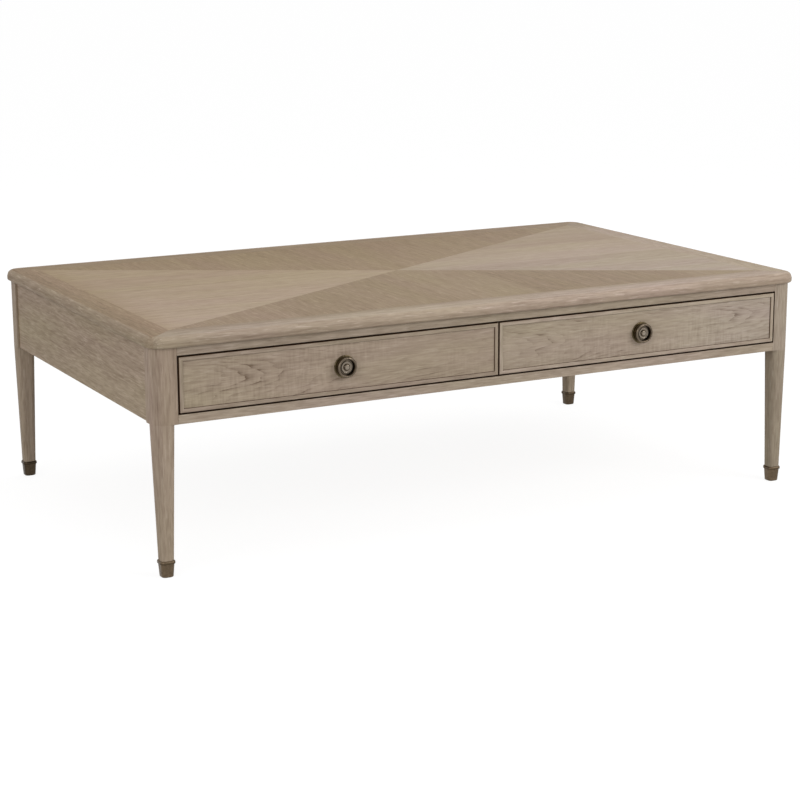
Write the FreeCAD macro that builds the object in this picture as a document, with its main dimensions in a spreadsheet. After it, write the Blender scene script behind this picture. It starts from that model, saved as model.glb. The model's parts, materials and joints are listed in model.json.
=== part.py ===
import FreeCAD, Part
import math
import os
from types import SimpleNamespace

import Sketcher
from FreeCAD import Placement, Rotation, Vector

# A low oak table with two drawers side by side, ring pulls, tapered legs with brass ferrules
# and a matched veneer top. +Z is up, the drawers face -Y, and the origin is on the floor, mid table.

# Driving dimensions in millimetres, grouped by the piece that they size.
SIZES = {
    # whole table
    "table_height": 478.0,
    "top_length": 1524.0,
    "top_depth": 914.0,
    "top_thickness": 23.0,
    "top_overhang": 8.0,
    "apron_height": 150.0,
    # moulded border of the top, and the core and veneers inside it
    "band_width": 64.0,
    "edge_upper_height": 12.0,
    "edge_upper_round": 11.4,
    "edge_quirk": 0.9,
    "edge_under_round": 4.5,
    "core_tongue_length": 10.0,
    "core_tongue_height": 7.0,
    "core_tongue_drop": 7.0,
    "veneer_thickness": 1.5,
    # legs
    "post_width": 48.0,
    "post_corner_radius": 26.0,
    "post_arris_radius": 1.0,
    "leg_top_width": 44.0,
    "leg_top_radius": 16.0,
    "leg_foot_width": 27.0,
    "leg_foot_radius": 8.0,
    "spigot_width": 15.0,
    "spigot_end_gap": 0.2,
    # brass ferrules
    "ferrule_height": 34.0,
    "ferrule_floor": 6.0,
    "ferrule_mouth_width": 28.6,
    "ferrule_mouth_radius": 8.7,
    "ferrule_sole_width": 24.9,
    "ferrule_sole_radius": 8.7,
    "ferrule_sole_round": 2.4,
    "collar_height": 6.2,
    "collar_width": 31.6,
    "collar_corner_radius": 9.0,
    "collar_round": 3.2,
    # wood screws under the top and in the ferrules
    "screw_radius": 2.0,
    "screw_head_radius": 4.0,
    "screw_head_height": 2.6,
    "ferrule_screw_length": 26.0,
    "top_screw_length": 42.0,
    "top_screw_reach": 240.0,
    "top_screw_inset": 12.0,
    "screw_clearance": 0.1,
    # end and back panels, tongued into the posts
    "panel_thickness": 20.0,
    "panel_recess": 4.0,
    "tongue_thickness": 8.0,
    "tongue_length": 12.0,
    "tongue_shoulder": 15.0,
    "joint_clearance": 0.1,
    # front rails, tenoned into the posts
    "top_rail_height": 16.5,
    "top_rail_depth": 100.0,
    "bottom_rail_height": 18.5,
    "bottom_rail_depth": 60.0,
    "tenon_length": 24.0,
    "tenon_width": 34.0,
    "tenon_inset": 8.0,
    "tenon_shoulder": 5.0,
    # what carries the drawers
    "partition_thickness": 20.0,
    "runner_width": 50.0,
    "guide_height": 24.0,
    "kicker_width": 40.0,
    "kicker_height": 30.0,
    "drawer_stop_length": 40.0,
    "drawer_stop_depth": 18.0,
    "drawer_stop_height": 5.0,
    "drawer_stop_spread": 130.0,
    # drawer fronts and the bead round them
    "front_gap": 3.0,
    "centre_gap": 3.0,
    "front_thickness": 19.0,
    "field_recess": 1.0,
    "bead_width": 8.5,
    "bead_depth": 10.0,
    "bead_proud": 2.0,
    "bead_round": 2.2,
    # drawer boxes
    "drawer_depth": 560.0,
    "side_thickness": 12.0,
    "side_height": 99.5,
    "side_gap": 3.0,
    "guide_clearance": 0.6,
    "side_tongue_length": 8.0,
    "side_tongue_shoulder": 3.0,
    "side_tongue_end": 14.0,
    "bottom_rise": 8.0,
    "bottom_thickness": 6.0,
    "bottom_groove": 5.0,
    "back_thickness": 12.0,
    "back_height": 80.5,
    "cleat_length": 40.0,
    "cleat_thickness": 8.0,
    "cleat_lap": 30.0,
    "cleat_catch": 9.0,
    # ring pulls
    "rosette_radius": 23.0,
    "rosette_flange": 2.4,
    "rosette_flange_round": 1.0,
    "rosette_neck_radius": 20.4,
    "rosette_depth": 9.0,
    "boss_radius": 12.5,
    "boss_height": 1.4,
    "boss_round": 0.8,
    "boss_rim_width": 2.4,
    "boss_dish": 1.2,
    "dome_radius": 6.8,
    "dome_height": 3.6,
    "dome_round": 3.3,
    "ring_radius": 18.0,
    "ring_tube_radius": 3.0,
    "ring_gap": 0.3,
    "ring_pin_radius": 1.2,
    "ring_pin_clearance": 0.05,
    "ring_pin_root": 1.5,
    "lug_width": 4.4,
    "lug_eye_radius": 2.5,
    "lug_side_gap": 0.3,
    "lug_root": 1.5,
    "pull_screw_radius": 2.0,
    "pull_screw_bite": 6.0,
    "pull_screw_head_radius": 4.2,
    "pull_screw_head_height": 2.4,
    # spare length of every cutting block, and how near two points count as one
    "cut_overrun": 1.0,
    "same_place": 0.001,
}

AXES = {"x": Vector(1, 0, 0), "y": Vector(0, 1, 0), "z": Vector(0, 0, 1)}

# How a round bar made along +Z is turned to run along another axis.
RUN_ALONG = {
    "x": Rotation(AXES["y"], 90),
    "y": Rotation(AXES["x"], -90),
    "z": Rotation(),
}

DOC = FreeCAD.newDocument("coffee_table")
PIECES = []


class Size:
    """A length known both as a number and as a formula in the sheet's names."""

    def __init__(self, number, formula):
        self.number = number
        self.formula = formula

    def __add__(self, other):
        return Size(self.number + number_of(other), "(%s + %s)" % (self.formula, formula_of(other)))

    def __sub__(self, other):
        return Size(self.number - number_of(other), "(%s - %s)" % (self.formula, formula_of(other)))

    def __mul__(self, factor):
        return Size(self.number * factor, "(%s * %s)" % (self.formula, factor))

    def __truediv__(self, divisor):
        return Size(self.number / divisor, "(%s / %s)" % (self.formula, divisor))

    def __neg__(self):
        return Size(-self.number, "(-%s)" % self.formula)


def number_of(length):
    return length.number if isinstance(length, Size) else length


def formula_of(length):
    return length.formula if isinstance(length, Size) else str(length)


def write_sheet():
    """Puts every driving dimension in its own named cell."""
    sheet = DOC.addObject("Spreadsheet::Sheet", "sizes")
    for row, (name, number) in enumerate(SIZES.items(), start=1):
        sheet.set("A%d" % row, name)
        sheet.set("B%d" % row, str(number))
        sheet.setAlias("B%d" % row, name)
    DOC.recompute()


write_sheet()
size = SimpleNamespace(**{name: Size(number, "sizes." + name) for name, number in SIZES.items()})

# Places that several pieces share. Each one is a distance from the table's middle or from the floor.
half_length = size.top_length / 2
half_depth = size.top_depth / 2
field_x = half_length - size.band_width
field_y = half_depth - size.band_width
post_x = half_length - size.top_overhang
post_y = half_depth - size.top_overhang
post_in_x = post_x - size.post_width
post_in_y = post_y - size.post_width
leg_axis_x = post_x - size.leg_top_width / 2
leg_axis_y = post_y - size.leg_top_width / 2
apron_top = size.table_height - size.top_thickness
apron_bottom = apron_top - size.apron_height
core_top = size.table_height - size.veneer_thickness
opening_top = apron_top - size.top_rail_height
opening_bottom = apron_bottom + size.bottom_rail_height
panel_x = (post_x - size.panel_recess - size.panel_thickness, post_x - size.panel_recess)
panel_y = (post_y - size.panel_recess - size.panel_thickness, post_y - size.panel_recess)
apron_z = (apron_bottom, apron_top)
tongue_z = (apron_bottom + size.tongue_shoulder, apron_top - size.tongue_shoulder)
top_rail_y = (-post_y, size.top_rail_depth - post_y)
bottom_rail_y = (-post_y, size.bottom_rail_depth - post_y)
partition_x = size.partition_thickness / 2
front_x = (size.centre_gap / 2, post_in_x - size.front_gap)
front_z = (opening_bottom + size.front_gap, opening_top - size.front_gap)
front_face = post_y - size.field_recess
front_back = front_face - size.front_thickness
bead_face = post_y + size.bead_proud
bead_back = bead_face - size.bead_depth
drawer_end = size.drawer_depth - front_back
pull_x = (front_x[0] + front_x[1]) / 2
pull_z = (front_z[0] + front_z[1]) / 2
ring_y = -(front_face + size.rosette_depth + size.ring_gap + size.ring_tube_radius)
ring_axis_z = pull_z + size.ring_radius


def bind(thing, path, length):
    """Ties one property of an object to the sheet."""
    thing.setExpression(path, formula_of(length))


def place(thing, point, turn=Rotation()):
    """Turns an object and ties its place to the sheet."""
    thing.Placement = Placement(Vector(), turn)
    for axis, length in zip("xyz", point):
        bind(thing, "Placement.Base." + axis, length)


def mid(span, thickness):
    """The span of a thickness centred in a wider span."""
    middle = (span[0] + span[1]) / 2
    return (middle - thickness / 2, middle + thickness / 2)


def both(length):
    """The span from minus a distance to plus that distance."""
    return (-length, length)


def board(name, x, y, z, grow=0):
    """A rectangular block between the low and high limits given for each axis."""
    block = DOC.addObject("Part::Box", name)
    place(block, [span[0] - grow for span in (x, y, z)])
    for side, span in zip(("Length", "Width", "Height"), (x, y, z)):
        bind(block, side, span[1] - span[0] + grow + grow)
    return block


def rod(name, axis, start, radius, length):
    """A round bar that starts at a point and runs along +x, +y or +z."""
    bar = DOC.addObject("Part::Cylinder", name)
    place(bar, start, RUN_ALONG[axis])
    bind(bar, "Radius", radius)
    bind(bar, "Height", length)
    return bar


def fuse(name, things):
    whole = DOC.addObject("Part::MultiFuse", name)
    whole.Shapes = things
    whole.Refine = True
    return whole


def cut(name, base, tools):
    rest = DOC.addObject("Part::Cut", name)
    rest.Base = base
    rest.Tool = tools[0] if len(tools) == 1 else fuse(name + "_cuts", tools)
    return rest


def common(name, base, tool):
    shared = DOC.addObject("Part::Common", name)
    shared.Base = base
    shared.Tool = tool
    return shared


def group(name, things):
    together = DOC.addObject("Part::Compound", name)
    together.Links = things
    return together


def mirrored(name, source, axis):
    """The same piece on the other side of the table's middle."""
    twin = DOC.addObject("Part::Mirroring", name)
    twin.Source = source
    twin.Normal = AXES[axis]
    return twin


def keep(*pieces):
    """Lists finished pieces; each is written to a file named by its label."""
    PIECES.extend(pieces)


def keep_pair(right, name):
    """Keeps a piece of the right side, named with the word right, and its twin on the left."""
    left = mirrored(name.replace("right", "left"), right, "x")
    keep(right, left)
    return left


def body_named(name):
    return DOC.addObject("PartDesign::Body", name)


def sketch_in(body, name, plane, offset):
    """A sketch on one of a body's own planes, moved along that plane's normal."""
    sketch = body.newObject("Sketcher::SketchObject", name)
    support = next(item for item in body.Origin.OriginFeatures if item.Role == plane)
    sketch.AttachmentSupport = [(support, "")]
    sketch.MapMode = "FlatFace"
    bind(sketch, "AttachmentOffset.Base.z", offset)
    return sketch


def hold(sketch, kind, item, end, length):
    """Ties one end of a sketch line to a distance from the sketch's origin."""
    index = sketch.addConstraint(Sketcher.Constraint(kind, -1, 1, item, end, number_of(length)))
    bind(sketch, "Constraints[%d]" % index, length)


def polygon(sketch, points):
    """A closed outline of straight lines, with each corner tied to the sheet."""
    spots = [Vector(number_of(x), number_of(y), 0) for x, y in points]
    ends = spots[1:] + spots[:1]
    lines = [sketch.addGeometry(Part.LineSegment(start, end)) for start, end in zip(spots, ends)]
    for line, following, (x, y) in zip(lines, lines[1:] + lines[:1], points):
        sketch.addConstraint(Sketcher.Constraint("Coincident", line, 2, following, 1))
        hold(sketch, "DistanceX", line, 1, x)
        hold(sketch, "DistanceY", line, 1, y)


def rectangle(sketch, x, y):
    polygon(sketch, [(x[0], y[0]), (x[1], y[0]), (x[1], y[1]), (x[0], y[1])])


def rounded_rectangle(sketch, x, y, radii):
    """A rectangle with its own radius at each corner, from the low left one round to the left."""
    (left, right), (low, high) = [[number_of(limit) for limit in span] for span in (x, y)]
    r = [number_of(radius) for radius in radii]
    centres = [(left + r[0], low + r[0]), (right - r[1], low + r[1]),
               (right - r[2], high - r[2]), (left + r[3], high - r[3])]
    sides = [((left + r[0], low), (right - r[1], low)), ((right, low + r[1]), (right, high - r[2])),
             ((right - r[2], high), (left + r[3], high)), ((left, high - r[3]), (left, low + r[0]))]
    for start, end in sides:
        sketch.addGeometry(Part.LineSegment(Vector(*start, 0), Vector(*end, 0)))
    quarter = math.pi / 2
    for corner in range(4):
        circle = Part.Circle(Vector(*centres[corner], 0), AXES["z"], r[corner])
        start = (corner - 2) * quarter
        sketch.addGeometry(Part.ArcOfCircle(circle, start, start + quarter))
    for side in range(4):
        sketch.addConstraint(Sketcher.Constraint(("Horizontal", "Vertical")[side % 2], side))
        sketch.addConstraint(Sketcher.Constraint("Tangent", 4 + side, 2, side, 1))
        sketch.addConstraint(Sketcher.Constraint("Tangent", side, 2, 4 + (side + 1) % 4, 1))
    hold(sketch, "DistanceY", 0, 1, y[0])
    hold(sketch, "DistanceX", 1, 1, x[1])
    hold(sketch, "DistanceY", 2, 1, y[1])
    hold(sketch, "DistanceX", 3, 1, x[0])
    for corner, radius in enumerate(radii):
        index = sketch.addConstraint(Sketcher.Constraint("Radius", 4 + corner, r[corner]))
        bind(sketch, "Constraints[%d]" % index, radius)


def pad(body, sketch, length):
    feature = body.newObject("PartDesign::Pad", sketch.Name + "_pad")
    feature.Profile = sketch
    bind(feature, "Length", length)


def loft(body, first, last):
    feature = body.newObject("PartDesign::AdditiveLoft", first.Name + "_loft")
    feature.Profile = first
    feature.Sections = [last]
    feature.Ruled = True


def revolve(body, sketch):
    feature = body.newObject("PartDesign::Revolution", sketch.Name + "_turn")
    feature.Profile = sketch
    feature.ReferenceAxis = (sketch, ["V_Axis"])


def fillet(body, name, radius, level, axis="z", edge_radius=None):
    """Rounds the edges that lie at one level, or only the circles of one radius there."""
    DOC.recompute()
    base = body.Tip
    chosen = []
    for index, edge in enumerate(base.Shape.Edges, start=1):
        spots = [getattr(vertex.Point, axis) for vertex in edge.Vertexes]
        level_edge = all(abs(spot - number_of(level)) < size.same_place.number for spot in spots)
        right_circle = edge_radius is None or (
            isinstance(edge.Curve, Part.Circle)
            and abs(edge.Curve.Radius - edge_radius.number) < size.same_place.number)
        if level_edge and right_circle:
            chosen.append("Edge%d" % index)
    feature = body.newObject("PartDesign::Fillet", name)
    feature.Base = (base, chosen)
    bind(feature, "Radius", radius)


def mitre_bar(name, turn, along, across, thick):
    """A bar with 45 degree ends. Across runs from its long edge to its short edge."""
    outer, inner = across
    grows_inwards = outer.number < inner.number
    inset = inner - outer if grows_inwards else outer - inner
    long_side = along
    short_side = (along[0] + inset, along[1] - inset)
    first, last = (long_side, short_side) if grows_inwards else (short_side, long_side)
    y_limits = (outer, inner) if grows_inwards else (inner, outer)
    bar = DOC.addObject("Part::Wedge", name)
    bar.Placement = Placement(Vector(), turn)
    for words, limits in ((("Xmin", "Xmax"), first), (("X2min", "X2max"), last), (("Ymin", "Ymax"), y_limits),
                          (("Zmin", "Zmax"), thick), (("Z2min", "Z2max"), thick)):
        for word, limit in zip(words, limits):
            bind(bar, word, limit)
    return bar


def wood_screw(name, head_at, length, grow=0):
    """A countersunk screw that points up from the face of its head."""
    head = DOC.addObject("Part::Cone", name + "_head")
    place(head, head_at)
    bind(head, "Radius1", size.screw_head_radius + grow)
    bind(head, "Radius2", size.screw_radius + grow)
    bind(head, "Height", size.screw_head_height)
    shank = rod(name + "_shank", "z", head_at, size.screw_radius + grow, length + grow)
    return fuse(name, [head, shank])


def four_ways(name, piece):
    """A piece of the right back corner and its copies in the other three corners."""
    back_left = mirrored(name + "_back_left", piece, "x")
    front_right = mirrored(name + "_front_right", piece, "y")
    front_left = mirrored(name + "_front_left", back_left, "y")
    return [piece, back_left, front_right, front_left]


def make_top(screw_holes):
    """Core, four matched veneers and a moulded border that is mitred at the corners."""
    # The border's outline has two storeys with a small step between them, the upper one rounded over.
    corner = size.post_corner_radius + size.top_overhang
    blank = body_named("top_blank")
    step_z = size.table_height - size.edge_upper_height
    lower = sketch_in(blank, "top_lower", "XY_Plane", apron_top)
    rounded_rectangle(lower, both(half_length), both(half_depth), [corner] * 4)
    pad(blank, lower, step_z - apron_top)
    upper = sketch_in(blank, "top_upper", "XY_Plane", step_z)
    rounded_rectangle(upper, both(half_length - size.edge_quirk), both(half_depth - size.edge_quirk),
                      [corner - size.edge_quirk] * 4)
    pad(blank, upper, size.edge_upper_height)
    fillet(blank, "top_under_round", size.edge_under_round, apron_top)
    fillet(blank, "top_upper_round", size.edge_upper_round, size.table_height)

    # A tongue round the core sits in a groove in the border.
    tongue_top = core_top - size.core_tongue_drop
    tongue = (both(field_x + size.core_tongue_length), both(field_y + size.core_tongue_length),
              (tongue_top - size.core_tongue_height, tongue_top))
    through = (apron_top - size.cut_overrun, size.table_height + size.cut_overrun)
    border = cut("top_border", blank, [
        board("field_space", both(field_x), both(field_y), through),
        board("core_groove", *tongue, grow=size.joint_clearance)])
    thick = (apron_top, size.table_height)
    front = common("top_band_front", border, mitre_bar(
        "front_mitre", Rotation(), both(half_length), (-half_depth, -field_y), thick))
    right = common("top_band_right", border, mitre_bar(
        "right_mitre", Rotation(AXES["z"], 90), both(half_depth), (-half_length, -field_x), thick))
    keep(front, mirrored("top_band_back", front, "y"))
    keep_pair(right, "top_band_right")

    core = fuse("core_with_tongue", [
        board("core_board", both(field_x), both(field_y), (apron_top, core_top)),
        board("core_tongue", *tongue)])
    keep(cut("top_core", core, screw_holes))

    # Four triangles of veneer meet in the middle of the top.
    for name, points in (
            ("top_veneer_front", [(-field_x, -field_y), (field_x, -field_y), (0, 0)]),
            ("top_veneer_right", [(field_x, -field_y), (field_x, field_y), (0, 0)])):
        leaf = body_named(name)
        outline = sketch_in(leaf, name + "_outline", "XY_Plane", core_top)
        polygon(outline, points)
        pad(leaf, outline, size.veneer_thickness)
        if name.endswith("front"):
            keep(leaf, mirrored("top_veneer_back", leaf, "y"))
        else:
            keep_pair(leaf, name)


def make_leg_blank():
    """A post, the tapered leg below it and the spigot that enters the ferrule, at the right back."""
    leg = body_named("leg_blank")
    post = sketch_in(leg, "post_section", "XY_Plane", apron_bottom)
    x = (post_in_x, post_x)
    y = (post_in_y, post_y)
    corner = size.post_corner_radius
    arris = size.post_arris_radius
    rounded_rectangle(post, x, y, [arris, arris, corner, arris])
    pad(leg, post, size.apron_height)
    centre_x = both(size.leg_top_width / 2)
    top_x = [leg_axis_x + limit for limit in centre_x]
    top_y = [leg_axis_y + limit for limit in centre_x]
    soft = size.leg_top_radius
    top = sketch_in(leg, "leg_top_section", "XY_Plane", apron_bottom)
    rounded_rectangle(top, top_x, top_y, [soft, soft, corner, soft])
    foot_limits = both(size.leg_foot_width / 2)
    foot = sketch_in(leg, "leg_foot_section", "XY_Plane", size.ferrule_height)
    rounded_rectangle(foot, [leg_axis_x + limit for limit in foot_limits],
                      [leg_axis_y + limit for limit in foot_limits], [size.leg_foot_radius] * 4)
    loft(leg, top, foot)
    spigot_limits = both(size.spigot_width / 2)
    spigot_bottom = size.ferrule_floor + size.spigot_end_gap
    spigot = sketch_in(leg, "spigot_section", "XY_Plane", spigot_bottom)
    rectangle(spigot, [leg_axis_x + limit for limit in spigot_limits],
              [leg_axis_y + limit for limit in spigot_limits])
    pad(leg, spigot, size.ferrule_height - spigot_bottom)
    return leg


def make_legs_and_ferrules(front_mortises, back_mortises, end_mortise):
    """Four legs, each with its own mortises, in brass cups held by a screw from below."""
    at_leg = (leg_axis_x, leg_axis_y, 0)
    screw = wood_screw("ferrule_screw", at_leg, size.ferrule_screw_length)
    hole = wood_screw("ferrule_screw_hole", at_leg, size.ferrule_screw_length, size.screw_clearance)
    leg = make_leg_blank()
    back = cut("leg_back_right", leg, [hole, end_mortise] + back_mortises)
    keep_pair(back, "leg_back_right")
    front_blank = mirrored("leg_front_blank", cut("leg_front_drilled", leg, [hole, end_mortise]), "y")
    front = cut("leg_front_right", front_blank, front_mortises)
    keep_pair(front, "leg_front_right")

    cup = body_named("ferrule_blank")
    collar_z = size.ferrule_height - size.collar_height

    def section(name, level, width, radius):
        sketch = sketch_in(cup, name, "XY_Plane", level)
        limits = both(width / 2)
        rounded_rectangle(sketch, [leg_axis_x + limit for limit in limits],
                          [leg_axis_y + limit for limit in limits], [radius] * 4)
        return sketch

    sole = section("ferrule_sole", 0, size.ferrule_sole_width, size.ferrule_sole_radius)
    mouth = section("ferrule_mouth", collar_z, size.ferrule_mouth_width, size.ferrule_mouth_radius)
    loft(cup, sole, mouth)
    collar = section("ferrule_collar", collar_z, size.collar_width, size.collar_corner_radius)
    pad(cup, collar, size.collar_height)
    fillet(cup, "collar_upper_round", size.collar_round, size.ferrule_height)
    fillet(cup, "sole_round", size.ferrule_sole_round, 0)
    socket_limits = both(size.spigot_width / 2 + size.joint_clearance)
    socket = board("ferrule_socket", [leg_axis_x + limit for limit in socket_limits],
                   [leg_axis_y + limit for limit in socket_limits],
                   (size.ferrule_floor, size.ferrule_height + size.cut_overrun))
    ferrule = cut("ferrule_back_right", cup, [socket, hole])
    keep_pair(ferrule, "ferrule_back_right")
    keep_pair(mirrored("ferrule_front_right", ferrule, "y"), "ferrule_front_right")
    keep(group("ferrule_screws", four_ways("ferrule_screw_copy", screw)))


def make_apron():
    """Panels at the ends and back, two front rails, and the mortises that hold them in the legs."""
    end_tongue = (mid(panel_x, size.tongue_thickness), both(post_in_y + size.tongue_length), tongue_z)
    end = fuse("end_panel_right", [
        board("end_panel_board", panel_x, both(post_in_y), apron_z),
        board("end_panel_tongue", *end_tongue)])
    keep_pair(end, "end_panel_right")

    back_tongue = (both(post_in_x + size.tongue_length), mid(panel_y, size.tongue_thickness), tongue_z)
    partition_tongue = (both(size.tongue_thickness / 2),
                        (panel_y[0], panel_y[0] + size.tongue_thickness), tongue_z)
    back = fuse("back_panel_whole", [
        board("back_panel_board", both(post_in_x), panel_y, apron_z),
        board("back_panel_tongue", *back_tongue)])
    keep(cut("back_panel", back, [board("partition_groove", *partition_tongue, grow=size.joint_clearance)]))

    tenon_y = (size.tenon_inset - post_y, size.tenon_inset + size.tenon_width - post_y)
    rails = (("front_top_rail", top_rail_y, (opening_top, apron_top)),
             ("front_bottom_rail", bottom_rail_y, (apron_bottom, opening_bottom)))
    front_mortises = []
    rail_laps = []
    for name, rail_y, rail_z in rails:
        tenon = (both(post_in_x + size.tenon_length), tenon_y,
                 (rail_z[0] + size.tenon_shoulder, rail_z[1] - size.tenon_shoulder))
        keep(fuse(name, [board(name + "_board", both(post_in_x), rail_y, rail_z),
                         board(name + "_tenons", *tenon)]))
        front_mortises.append(board(name + "_mortises", *tenon, grow=size.joint_clearance))
        rail_laps.append(board(name + "_lap", both(post_in_x), rail_y, rail_z, grow=size.joint_clearance))

    # The partition stands behind the drawer fronts, notched round the rails and tongued into the back.
    divider = fuse("partition_whole", [
        board("partition_board", both(partition_x), (-front_back, panel_y[0]), apron_z),
        board("partition_tongue", *partition_tongue)])
    keep(cut("centre_partition", divider, rail_laps))

    end_mortise = board("end_mortises", *end_tongue, grow=size.joint_clearance)
    back_mortises = [board("back_mortises", *back_tongue, grow=size.joint_clearance)]
    return front_mortises, back_mortises, end_mortise


def make_drawer_carriers():
    """Runners under the drawer sides, kickers above them, stops on the rail and the top's screws."""
    runner_z = (apron_bottom, opening_bottom)
    side_outer_face = post_in_x - size.side_gap
    outer_y = (bottom_rail_y[1], post_in_y)
    outer = fuse("runner_outer_right", [
        board("runner_outer_base", (panel_x[0] - size.runner_width, panel_x[0]), outer_y, runner_z),
        board("runner_outer_guide", (side_outer_face + size.guide_clearance, panel_x[0]), outer_y,
              (apron_bottom, opening_bottom + size.guide_height))])
    keep_pair(outer, "runner_outer_right")
    inner = board("runner_inner_right", (partition_x, partition_x + size.runner_width),
                  (bottom_rail_y[1], panel_y[0]), runner_z)
    keep_pair(inner, "runner_inner_right")

    kicker_bottom = apron_top - size.kicker_height
    screws = []
    holes = []
    # The screws of the outer kickers stand far enough in to bite the core and not the border.
    outer_screw_x = field_x - size.top_screw_inset
    outer_x = (outer_screw_x - size.top_screw_inset, panel_x[0])
    inner_screw_x = partition_x + size.kicker_width / 2
    inner_x = (partition_x, partition_x + size.kicker_width)
    for name, kicker_x, kicker_end, screw_x in (
            ("kicker_outer_right", outer_x, post_in_y, outer_screw_x),
            ("kicker_inner_right", inner_x, panel_y[0], inner_screw_x)):
        strip = board(name + "_strip", kicker_x, (top_rail_y[1], kicker_end), (kicker_bottom, apron_top))
        spot = (screw_x, size.top_screw_reach, kicker_bottom)
        screw = wood_screw(name + "_screw", spot, size.top_screw_length)
        hole = wood_screw(name + "_hole", spot, size.top_screw_length, size.screw_clearance)
        own_holes = four_ways(name + "_hole_copy", hole)
        keep_pair(cut(name, strip, [own_holes[0], own_holes[2]]), name)
        screws += four_ways(name + "_screw_copy", screw)
        holes += own_holes
    keep(group("top_screws", screws))

    stops = []
    for number, centre in enumerate((pull_x - size.drawer_stop_spread, pull_x + size.drawer_stop_spread)):
        half = size.drawer_stop_length / 2
        stop = board("drawer_stop_%d" % number, (centre - half, centre + half),
                     (-front_back, size.drawer_stop_depth - front_back),
                     (opening_bottom, opening_bottom + size.drawer_stop_height))
        stops += [stop, mirrored("drawer_stop_%d_left" % number, stop, "x")]
    keep(group("drawer_stops", stops))
    return holes


def make_drawers():
    """Two drawer boxes with beaded fronts; the right one is made and the left one mirrors it."""
    inner_face = partition_x + size.guide_clearance
    outer_face = post_in_x - size.side_gap
    inner_side_x = (inner_face, inner_face + size.side_thickness)
    outer_side_x = (outer_face - size.side_thickness, outer_face)
    side_z = (opening_bottom, opening_bottom + size.side_height)
    bottom_z = (opening_bottom + size.bottom_rise, opening_bottom + size.bottom_rise + size.bottom_thickness)
    bottom = ((inner_side_x[1] - size.bottom_groove, outer_side_x[0] + size.bottom_groove),
              (-(front_back + size.bottom_groove), drawer_end), bottom_z)
    keep_pair(board("drawer_right_bottom", *bottom), "drawer_right_bottom")
    groove = board("drawer_bottom_groove", *bottom, grow=size.joint_clearance)

    sockets = []
    for name, side_x in (("drawer_right_inner_side", inner_side_x),
                         ("drawer_right_outer_side", outer_side_x)):
        tongue = ((side_x[0] + size.side_tongue_shoulder, side_x[1] - size.side_tongue_shoulder),
                  (-(front_back + size.side_tongue_length), -front_back),
                  (front_z[0] + size.side_tongue_end, side_z[1] - size.side_tongue_end))
        plank = fuse(name + "_whole", [board(name + "_board", side_x, (-front_back, drawer_end), side_z),
                                       board(name + "_tongue", *tongue)])
        keep_pair(cut(name, plank, [groove]), name)
        sockets.append(board(name + "_socket", *tongue, grow=size.joint_clearance))

    back_top = bottom_z[1] + size.back_height
    keep_pair(board("drawer_right_back", (inner_side_x[1], outer_side_x[0]),
                    (drawer_end - size.back_thickness, drawer_end), (bottom_z[1], back_top)),
              "drawer_right_back")
    half_cleat = size.cleat_length / 2
    keep_pair(board("drawer_right_stop_cleat", (pull_x - half_cleat, pull_x + half_cleat),
                    (drawer_end, drawer_end + size.cleat_thickness),
                    (back_top - size.cleat_lap, opening_top + size.cleat_catch)),
              "drawer_right_stop_cleat")

    # The front is rebated all round for its bead, which stands proud of the field.
    field = [(span[0] + size.bead_width, span[1] - size.bead_width) for span in (front_x, front_z)]
    slab = fuse("drawer_front_whole", [
        board("drawer_front_back", front_x, (-bead_back, -front_back), front_z),
        board("drawer_front_field", field[0], (-front_face, -front_back), field[1])])
    bolt_hole = rod("pull_bolt_hole", "y", (pull_x, -(front_face + size.cut_overrun), pull_z),
                    size.pull_screw_radius + size.screw_clearance,
                    size.front_thickness + size.cut_overrun * 2)
    keep_pair(cut("drawer_right_front", slab, [groove, bolt_hole] + sockets), "drawer_right_front")

    frame = body_named("bead_blank")
    outline = sketch_in(frame, "bead_outline", "XZ_Plane", bead_back)
    rectangle(outline, front_x, front_z)
    rectangle(outline, *field)
    pad(frame, outline, size.bead_depth)
    fillet(frame, "bead_round", size.bead_round, -bead_face, "y")
    flat = Rotation(AXES["x"], 90)
    upright = Rotation(AXES["z"], AXES["x"], AXES["y"], "XYZ")
    strips = []
    for name, turn, along, across, thick in (
            ("low", flat, front_x, (front_z[0], field[1][0]), (bead_back, bead_face)),
            ("high", flat, front_x, (front_z[1], field[1][1]), (bead_back, bead_face)),
            ("near", upright, front_z, (front_x[0], field[0][0]), (-bead_face, -bead_back)),
            ("far", upright, front_z, (front_x[1], field[0][1]), (-bead_face, -bead_back))):
        mitre = mitre_bar("bead_mitre_" + name, turn, along, across, thick)
        strips.append(common("bead_" + name, frame, mitre))
    keep_pair(group("drawer_right_bead", strips), "drawer_right_bead")


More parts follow.
